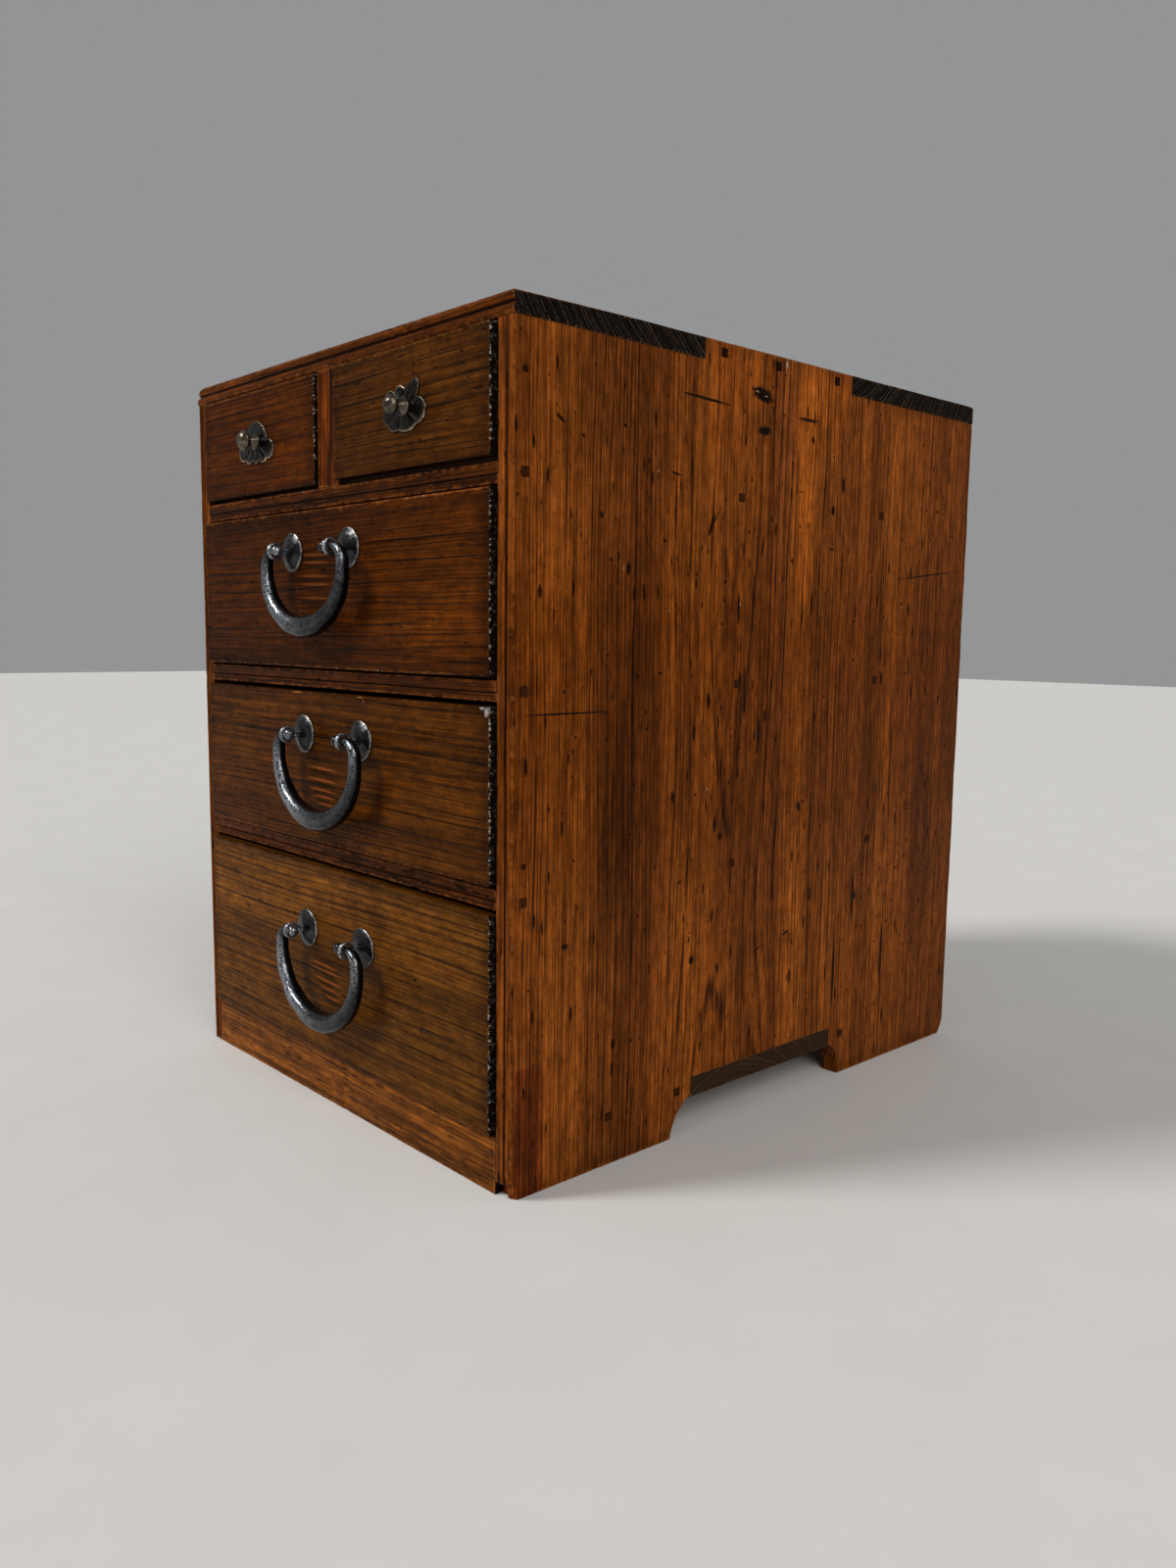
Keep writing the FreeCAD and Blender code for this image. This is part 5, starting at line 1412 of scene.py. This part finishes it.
# %% [markdown]
# ## Bails
#
# A bail is one bar: a ball on each end, thin where it passes the eyes, a
# shoulder, a short leg and a grip that swells towards the middle. The bar is
# a ring of points carried along that line. Its section is a little squarer
# than a circle, and its size wanders, as hammered bar does. A curve with a
# bevel could be quicker, but its section would be the same all along.

# %% A bail's line
EYE_PITCH, BAIL_REACH, BAIL_SHOULDER, BAIL_LEG = 51.0, 2.2, 7.0, 3.0
LEFT_TAIL, RIGHT_TAIL = 1.9, 5.7  # each eye to the middle of the ball inside it
BAIL_PLAY = {"drawer_upper": 0.8, "drawer_middle": 0.7, "drawer_lower": 0.0}  # how far each slid to the right
TIP_RADIUS, LEG_RADIUS, GRIP_RADIUS, BALL_RADIUS = 2.1, 3.0, 5.4, 2.65
BAR_POINTS = 28


def circle(count):
    """Angles evenly round a full turn."""
    return np.linspace(0, 2 * math.pi, count, endpoint=False)


def tube(path, side, across, deep, points=BAR_POINTS, square=0.0):
    """Rings round a line: across in the line's plane, deep along the fixed side direction.

    The ring's place is path + across cos(a) normal + deep sin(a) side, and
    square pushes the section out towards its four diagonals.
    """
    tangent = np.gradient(path, axis=0)
    tangent /= np.linalg.norm(tangent, axis=1, keepdims=True)
    side = np.asarray(side, float)
    normal = np.cross(tangent, side)
    normal /= np.linalg.norm(normal, axis=1, keepdims=True)
    angle = circle(points)
    swell = 1 + square * (np.sin(2 * angle) ** 2 - 0.5)
    wide = np.asarray(across)[:, None] * swell * np.cos(angle)
    tall = np.asarray(deep)[:, None] * swell * np.sin(angle)
    return path[:, None] + wide[..., None] * normal[:, None] + tall[..., None] * side


def half_bail(drop, tail):
    """Half of a bail's middle line in x and z, from its ball to the middle of its grip, and its radius."""
    start, bend = EYE_PITCH / 2 - tail, EYE_PITCH / 2 + BAIL_REACH
    wide = bend + BAIL_SHOULDER
    ball = start - BALL_RADIUS * np.cos(np.linspace(0.02, 2.2, 14))
    ball_radius = BALL_RADIUS * np.sin(np.linspace(0.02, 2.2, 14))
    neck = np.linspace(ball[-1] + 0.5, bend, 12)
    turn = np.linspace(0, math.pi / 2, 14)[1:]
    grip = np.linspace(0, math.pi / 2, 46)
    deep = drop - BAIL_SHOULDER - BAIL_LEG
    x = np.concatenate([ball, neck, bend + BAIL_SHOULDER * np.sin(turn), wide * np.cos(grip)])
    z = np.concatenate([0 * ball, 0 * neck, BAIL_SHOULDER * (np.cos(turn) - 1),
                        -BAIL_SHOULDER - BAIL_LEG - deep * np.sin(grip)])
    radius = np.concatenate([ball_radius, np.full(len(neck), TIP_RADIUS),
                             TIP_RADIUS + (LEG_RADIUS - TIP_RADIUS) * turn / turn[-1],
                             LEG_RADIUS + (GRIP_RADIUS - LEG_RADIUS) * grip / grip[-1]])
    return np.stack([x, 0 * x, z], 1), radius


def bail_line(drop, play):
    """A bail from left ball to right ball; play has moved it to the right, and its balls stay put."""
    left, left_radius = half_bail(drop, LEFT_TAIL - play)
    right, right_radius = half_bail(drop, RIGHT_TAIL + play)
    line = np.concatenate([left * (-1, 1, 1), right[-2::-1]]) + (play, 0, 0)
    return line, np.concatenate([left_radius, right_radius[-2::-1]])


print("a bail's bar has", len(bail_line(36.0, 0.0)[0]), "rings")

# %% [markdown]
# ## Where iron is bright: wear and painted highlights
#
# Iron that is touched stays bright: the upper side of a grip, most of all left
# of its middle, and the balls that knock about in their eyes. The bright metal
# is also laid on the side that faces out to the front, a little left of the
# camera, and along the stretches where highlights fall, so it is partly a
# painted highlight; the left ball is bright for the same reason. A texture
# could only guess at that. A number stored on each point, from 0 to 1, says it
# exactly, and the shader reads it by its name.

# %% Bails
BALL_LENGTH = 5.2
LEFT_BALL, RIGHT_BALL = 0.6, 0.05  # how bright the balls are: wear, and on the left ball a painted highlight
# The bar is bright on the side that faces this way, out to the front a little left of the camera, along the
# stretches listed below: partly wear, partly a painted highlight where highlights fall.
WEAR_AND_HIGHLIGHT_FACING = np.array([0.44, -0.87, 0.22])
LEAST_FACING, FACING_RANGE = 0.66, 0.26
WEAR_AND_HIGHLIGHT_SHARES = (0, 0.07, 0.13, 0.34, 0.47, 0.60, 0.78, 0.89, 0.94)  # of the bar's length
WEAR_AND_HIGHLIGHT_BRIGHT = (0, 0, 0.6, 0.7, 0.25, 0.05, 0.1, 0.6, 0)
for label, drop in BAIL_DROP.items():
    line, radius = bail_line(drop, BAIL_PLAY[label])
    seed = DRAWERS[label]["seed"] + 7
    run = steps_along(line)
    line = line + PULL_PLACES[label]
    soft = np.clip((radius - 2.4) / 1.5, 0, 1)
    across = radius * (1 - 0.03 * soft * (1 + ripple(run, 6.0, seed)))
    deep = radius * (1 - 0.07 * soft * (1 + ripple(run, 8.0, seed + 1)))
    bar = tube(line, (0, 1, 0), across, deep, square=0.06)
    bail = put_mesh(f"{label}_bail_forged", bar)
    outward = bar - line[:, None]
    outward /= np.maximum(np.linalg.norm(outward, axis=2, keepdims=True), 1e-9)
    # Wear and painted highlight, stored on each point.
    facing = rise(outward @ WEAR_AND_HIGHLIGHT_FACING - LEAST_FACING, FACING_RANGE)
    rubbed = facing * np.interp(run / run[-1], WEAR_AND_HIGHLIGHT_SHARES, WEAR_AND_HIGHLIGHT_BRIGHT)[:, None]
    ball = np.where(run < BALL_LENGTH, LEFT_BALL, np.where(run[-1] - run < BALL_LENGTH, RIGHT_BALL, 0.0))
    wear(bail, np.maximum(rubbed, ball[:, None]))
    dress(bail, f"{label}_pull", bail_iron, "forged_iron", f"{label}_bail")
print("bail line length (mm):", round(float(run[-1]), 1))

# %% [markdown]
# ## Split pins and domed plates
#
# Each bail hangs in two split pins: one wire bent round into an eye, its two
# ends driven together through a domed plate and the drawer's front, then
# spread apart inside. The wire is one line with a tube round it, so eye and
# legs are truly one piece. The dome is a shallow cap of sheet iron with a
# hammered face and a rim worn bright, brightest at its right, where that
# brightness is a painted highlight. It is built of rings round its axis,
# because a sphere cut flat would have no rim and no back.

# %% Lines of pins and domes
EYE_STANDOFF, EYE_RADIUS, WIRE_RADIUS, LEG_LENGTH = 9.5, 3.4, 0.98, 8.3
PIN_HALF_GAP, PIN_BEND = 0.72, 1.4  # from the pin's axis to its wires, and the bend of its legs
DOME_RADIUS, DOME_HEIGHT, DOME_RIM = 9.5, 3.8, 0.7
DOME_SHARES = (0.02, 0.12, 0.22, 0.32, 0.42, 0.52, 0.62, 0.71, 0.79, 0.86, 0.91, 0.95, 0.98, 1.0)
DOME_SKIRT = (  # share of the radius, height and brightness, from the rim back to the middle
    (1.0, DOME_RIM * 0.75, 1.0), (0.995, 0.25, 0.6), (0.985, 0.02, 0), (0.9, 0.02, 0), (0.02, 0.02, 0))
FRONT_THICKNESS = 11.5


def eye_line():
    """The pin's wire in y and z from the eye's centre: leg, shank, eye, shank, leg."""
    inside = EYE_STANDOFF + FRONT_THICKNESS + WIRE_RADIUS
    opening = math.asin((PIN_HALF_GAP + 0.25) / EYE_RADIUS)
    leg = np.linspace(LEG_LENGTH, PIN_HALF_GAP + PIN_BEND, 8)
    bend = np.linspace(0, math.pi / 2, 7)[1:]
    shank = np.linspace(inside - PIN_BEND, EYE_RADIUS + 1.2, 16)[1:]
    around = np.linspace(opening, 2 * math.pi - opening, 45)
    y = [0 * leg + inside, inside - PIN_BEND * np.sin(bend), shank, EYE_RADIUS * np.cos(around)]
    z = [leg, PIN_HALF_GAP + PIN_BEND * (1 - np.sin(bend)), 0 * shank + PIN_HALF_GAP,
         EYE_RADIUS * np.sin(around)]
    y, z = np.concatenate(y), np.concatenate(z)
    before_eye = len(y) - len(around)
    y = np.concatenate([y, y[:before_eye][::-1]])
    z = np.concatenate([z, -z[:before_eye][::-1]])
    return np.stack([0 * y, y, z], 1)


def dome_rings(seed):
    """A domed plate from its centre outwards, as rings about -Y: crown, rim and flat back.

    Height over the drawer is a circle's cap, plus small dents from the hammer.
    Also returns how bright each point is: the rim is worn bright, and brighter at the right, which is a
    painted highlight.
    """
    share, angle = np.array(DOME_SHARES), circle(56)
    crown = DOME_HEIGHT - DOME_RIM
    bend = (DOME_RADIUS ** 2 + crown ** 2) / (2 * crown)
    reach = DOME_RADIUS * share[:, None] * (1 - 0.012 * (1 + ripple(angle * 9, 5.0, seed))[None])
    x, z = reach * np.cos(angle), reach * np.sin(angle)
    hammered = 0.12 * (ripple(x + 31, 3.1, seed + 1) * ripple(z + 57, 2.7, seed + 2) - 1)
    cap = DOME_RIM + np.sqrt(bend ** 2 - reach ** 2) - (bend - crown)
    cap = cap + hammered * np.clip(1.2 - share, 0, 1)[:, None]
    shrink, level, bright = np.array(DOME_SKIRT).T[..., None]
    x = np.concatenate([x, x[-1] * shrink])
    z = np.concatenate([z, z[-1] * shrink])
    height = np.concatenate([cap, 0 * angle + level])
    rim = np.concatenate([rise(share - 0.93, 0.04)[:, None], bright])
    # Painted highlight: the rim is brighter towards its right.
    highlight_right = 0.3 + 0.35 * (1 + np.cos(angle))
    return np.stack([x, -height, z], -1), (rim * highlight_right).ravel()


print("a pin's wire is", steps_along(eye_line())[-1].round(1), "mm long")

# %% Fit the pins and the plates


def join_meshes(name, objects):
    """Several loose pieces as one object."""
    bm = bmesh.new()
    for obj in objects:
        bm.from_mesh(obj.data)
        bpy.data.objects.remove(obj)
    mesh = bpy.data.meshes.new(name)
    bm.to_mesh(mesh)
    bm.free()
    return put(name, mesh)


for label, centre in PULL_PLACES.items():
    seed = DRAWERS[label]["seed"] + 11
    pins, domes, rims = [], [], []
    for count, shift in enumerate((-EYE_PITCH / 2, EYE_PITCH / 2)):
        line = eye_line() + centre + (shift, 0, 0)
        wire = np.full(len(line), WIRE_RADIUS)
        pins.append(put_mesh(f"pin_{count}", tube(line, (1, 0, 0), wire * 0.86, wire, points=14)))
        rings, rim = dome_rings(seed + 5 * count)
        domes.append(put_mesh(f"dome_{count}", rings + (centre[0] + shift, drawer_faces[label], centre[2])))
        rims.append(rim)
    eyes = join_meshes(f"{label}_split_pins", pins)
    wear(eyes, np.full(len(eyes.data.vertices), 0.75))
    dress(eyes, label, bail_iron, "forged_iron", f"{label}_eye_pins")
    plates = join_meshes(f"{label}_domed_plates", domes)
    wear(plates, np.concatenate(rims))
    dress(plates, label, dome_iron, "forged_iron", f"{label}_backplates")
print("pins and plates:", len(PULL_PLACES) * 2, "pieces")

# %% [markdown]
# ## Knobs on lobed plates
#
# The two small drawers have mushroom knobs on plates cut like a spray of
# leaves. A knob is a profile turned about its axis, with its circle slightly
# out of true. A plate is one outline, a chain of arcs, shrunk towards the
# knob in rings: the outer ring makes the cut edge, and each ring's height
# carries the engraved veins that run from the valleys to the middle.

# %% Outlines of the plates
PLATE_THICKNESS, NECK_RADIUS, NECK_HEIGHT, FLARE_RADIUS, HEAD_THICKNESS = 1.2, 2.3, 4.6, 4.4, 4.6
LEFT_LOBES = (  # of half the plate's size: a valley, then the tip of the leaf after it
    ((0.64, 0.04), (0.97, -0.57)), ((0.6, -0.86), (0.42, -1.04)), ((0.2, -0.86), (0, -1.02)),
    ((-0.2, -0.86), (-0.42, -1)), ((-0.6, -0.8), (-0.98, -0.35)), ((-0.64, 0.04), (0, 0.97)),
)
RIGHT_LOBES = (
    ((0.57, 0.28), (0.99, -0.2)), ((0.6, -0.72), (0.2, -0.96)), ((-0.28, -0.84), (-0.6, -0.86)),
    ((-0.78, -0.62), (-0.98, -0.28)), ((-0.88, 0.12), (-0.7, 0.72)), ((-0.44, 0.62), (-0.22, 0.86)),
    ((0.04, 0.7), (0.34, 0.9)), ((0.6, 1.02), (0.66, 0.62)),
)
KNOBS = {
    "drawer_top_left": dict(head=5.3, lobes=LEFT_LOBES, half=(18.3, 10.4)),
    "drawer_top_right": dict(head=4.3, lobes=RIGHT_LOBES, half=(16.0, 10.8)),
}
PLATE_RINGS = np.array([  # share of the outline, height, depth of the veins there, how brightly it is worn
    (1.0, 0.02, 0, 0.6), (1.0, 0.55, 0, 1), (0.985, 0.85, 0, 1), (0.95, 1.02, 0.2, 0.7),
    (0.90, 1.12, 0.6, 0.1), (0.82, 1.06, 1, 0), (0.74, 1.12, 1, 0), (0.64, 1.18, 1, 0),
    (0.54, 1.20, 0.8, 0), (0.42, 1.2, 0.4, 0), (0.02, 1.2, 0, 0),
])
VEIN_DEPTH, VEIN_WIDTH = 0.42, 0.10  # mm, and in shares of a leaf
LEAF_POINTS = 16


def arc_through(start, middle, end, count):
    """Points on the circle through three points, from start up to, not including, end."""
    start, middle, end = (np.asarray(p, float) for p in (start, middle, end))
    rows = np.array([middle - start, end - start]) * 2
    centre = np.linalg.solve(rows, [middle @ middle - start @ start, end @ end - start @ start])
    angles = [math.atan2(*(p - centre)[::-1]) for p in (start, middle, end)]
    sweep = (angles[2] - angles[0]) % (2 * math.pi)
    if (angles[1] - angles[0]) % (2 * math.pi) > sweep:
        sweep -= 2 * math.pi
    turn = angles[0] + sweep * np.arange(count) / count
    return centre + np.linalg.norm(start - centre) * np.stack([np.cos(turn), np.sin(turn)], 1)


def plate_rings(lobes, half):
    """A lobed plate as rings of its outline, back to front and in to its middle."""
    valleys, tips = (np.array(spots) * half for spots in zip(*lobes))
    leaves = zip(valleys, tips, np.roll(valleys, -1, 0))
    outline = np.concatenate([arc_through(*leaf, LEAF_POINTS) for leaf in leaves])
    phase = np.tile(np.arange(LEAF_POINTS) / LEAF_POINTS, len(lobes))
    vein = np.exp(-((np.minimum(phase, 1 - phase)) / VEIN_WIDTH) ** 2)
    share, height, engraved, _ = PLATE_RINGS.T[..., None]
    x, z = outline[:, 0] * share, outline[:, 1] * share
    return np.stack([x, VEIN_DEPTH * engraved * vein - height, z], -1)


print("leaves:", [len(shape["lobes"]) for shape in KNOBS.values()])

# %% Turn the knobs
SHANK_RADIUS, RIVET_RADIUS, RIVET_HEIGHT = 2.0, 3.6, 1.2


def knob_rings(head, seed):
    """A knob turned about -Y: rivet behind, shank, flared foot, neck and domed head."""
    under = PLATE_THICKNESS + NECK_HEIGHT
    brim = under + HEAD_THICKNESS / 3
    crown = HEAD_THICKNESS * 2 / 3
    bend = (head ** 2 + crown ** 2) / (2 * crown)
    curve = np.linspace(0, 1, 9)
    neck = NECK_RADIUS + (FLARE_RADIUS - NECK_RADIUS) * (1 - curve) ** 2.2
    cap = head * np.cos(np.linspace(0.12, math.pi / 2 - 0.02, 12))
    radius = [0.05, RIVET_RADIUS * 0.7, RIVET_RADIUS, RIVET_RADIUS, SHANK_RADIUS, SHANK_RADIUS,
              FLARE_RADIUS * 0.98, *neck, head * 0.55, head * 0.9, head, *cap]
    out = [-FRONT_THICKNESS - RIVET_HEIGHT, -FRONT_THICKNESS - RIVET_HEIGHT,
           -FRONT_THICKNESS - RIVET_HEIGHT * 0.6, -FRONT_THICKNESS, -FRONT_THICKNESS, PLATE_THICKNESS,
           PLATE_THICKNESS, *(PLATE_THICKNESS + 0.1 + (NECK_HEIGHT - 0.1) * curve), under + 0.15, under + 0.5,
           brim, *(brim + np.sqrt(np.maximum(bend ** 2 - cap ** 2, 0)) - (bend - crown))]
    radius, out = np.array(radius)[:, None], np.array(out)[:, None]
    angle = circle(40)
    wide = radius * (1 - 0.02 * (1 + ripple(angle * 8 + out, 6.0, seed)))
    return np.stack([wide * np.cos(angle), -np.broadcast_to(out, wide.shape), wide * np.sin(angle)], -1)


for label, shape in KNOBS.items():
    knob_x, knob_z = KNOB_PLACES[label]
    seed = DRAWERS[label]["seed"]
    at = np.array([knob_x, drawer_faces[label], knob_z])
    knob = put_mesh(f"{label}_knob_turned", knob_rings(shape["head"], seed + 21) + at)
    dress(knob, label, knob_iron, "forged_iron", f"{label}_knob")
    rings = plate_rings(shape["lobes"], shape["half"])
    plate = put_mesh(f"{label}_leaf_plate", rings + at)
    around = np.arctan2(rings[-4:-3, :, 2], rings[-4:-3, :, 0])
    worn_side = 0.25 + 0.75 * np.clip(0.35 + ripple(30 + 6 * around, 5.0, seed + 23), 0, 1)
    wear(plate, PLATE_RINGS[:, 3:] * worn_side)
    dress(plate, label, plate_iron, "forged_iron", f"{label}_knob_plate")
print("knobs:", list(KNOBS))

# %% [markdown]
# ## The boards behind
#
# Shelves, back boards and drawer boxes are plain sawn boards, and their
# frame pieces already have the right shape. They only need their arrises
# eased and a finish: thin, pale and dusty inside, stained on the back. A frame
# piece comes as loose triangles, so a Weld modifier joins them before the
# Bevel works on the arrises.

# %% Finishes for the frame's own pieces
WELD_REACH = 0.00001  # metres
THIN_BOARDS = dict(lines=0.5, flecks=0.35, clouds=0.5, sway=12, fibres=0.5, relief=0.25, gloss=0.05,
                   roughness_shift=0.22, end_colour=(84, 58, 36), end_lines=0.25, rubbed=0.2)
INSIDE = dict(pale=(158, 116, 74), dark=(116, 78, 46))


def ease_arrises(obj, width):
    """Weld a frame piece's triangles and round its arrises a little."""
    weld = obj.modifiers.new("weld", "WELD")
    weld.merge_threshold = WELD_REACH
    bevel = obj.modifiers.new("bevel", "BEVEL")
    bevel.width, bevel.segments, bevel.limit_method = width * MM, 2, "ANGLE"
    bevel.harden_normals = False


def finish_node(name, material):
    """Put a finish on every material slot of a frame piece."""
    obj = frame["nodes"][name]
    for slot in obj.material_slots:
        slot.material = material
    if not obj.material_slots:
        obj.data.materials.append(material)
    return obj


def plain_board(name, grain, pith, pale, dark, width=0.4, **more):
    """A frame piece as a plain board; pith is where the tree's middle lies from the board's own."""
    low, high = mm_box(name)
    middle = (low + high) / 2
    across = {"x": (-middle[2], middle[1]), "y": (middle[0], -middle[2])}[grain]
    tree_middle = (across[0] + pith[0], across[1] + pith[1], 0)
    settings = {**THIN_BOARDS, "rubbed_colour": pale, **more}
    material = board_material(f"{name}_timber", grain, tree_middle, 3.4, pale, dark, (low, high), **settings)
    ease_arrises(finish_node(name, material), width)


print("a plain board is set up by", len(THIN_BOARDS), "values")

# %% Finish the boards
for name in ("shelf_upper", "shelf_middle", "shelf_lower"):
    plain_board(name, "x", (40, 70), **INSIDE)
plain_board("partition_board", "y", (40, 70), **INSIDE)
plain_board("bottom_board", "x", (55, -30), pale=(120, 78, 44), dark=(70, 42, 22), end_colour=(52, 36, 24),
            end_lines=0.2, rubbed_colour=(90, 56, 34))
back_joint = mm_box("back_board_upper")[0][2]
for name, pith, pale, dark in (("back_board_upper", (60, 120), (128, 80, 43), (76, 42, 20)),
                               ("back_board_lower", (-70, 90), (110, 66, 35), (64, 35, 17))):
    plain_board(name, "x", pith, pale, dark, width=0.8, lines=0.65, flecks=0.6, clouds=0.9, relief=0.35,
                gloss=0.03, roughness_shift=0.12, seams=[(0, 0, back_joint, THICK, THICK, 0.7, 0)],
                stains=[(0, 0, back_joint, THICK, THICK, 9, 0)])
for label, look in DRAWERS.items():
    shift = look["seed"] % 100
    front_low = mm_box(f"{label}_front")[0]
    # The inner lower edge behind a front is painted near black, a painted shade in the gap, so the gap under
    # the front reads dark.
    gap_shade = [(0, front_low[1] + 8, front_low[2], THICK, 16, 2.6, 0)]
    plain_board(f"{label}_side_left", "y", (50, 20 + shift / 4), seams=gap_shade, **INSIDE)
    plain_board(f"{label}_side_right", "y", (-45, 25 + shift / 4), seams=gap_shade, **INSIDE)
    plain_board(f"{label}_back", "x", (15 + shift / 4, 60), **INSIDE)
    plain_board(f"{label}_bottom", "x", (50, shift), seams=gap_shade, **INSIDE)

peg_timber = board_material(
    "peg_timber", "x", (-200, 40, 0), 1.1, (70, 36, 20), (26, 14, 9), mm_box("case_pegs"), flecks=0.2,
    rubbed=0, glint=0, end_colour=(54, 26, 8), end_lines=0.3,
    slips=[((0, 0, 360), (THICK, THICK, 5.0), (0.35, 0.3, 0.3))],
)
for name in frame["nodes"]:
    if name.endswith("_pegs"):
        finish_node(name, peg_timber)
print("plain boards:", 7 + 4 * len(DRAWERS))
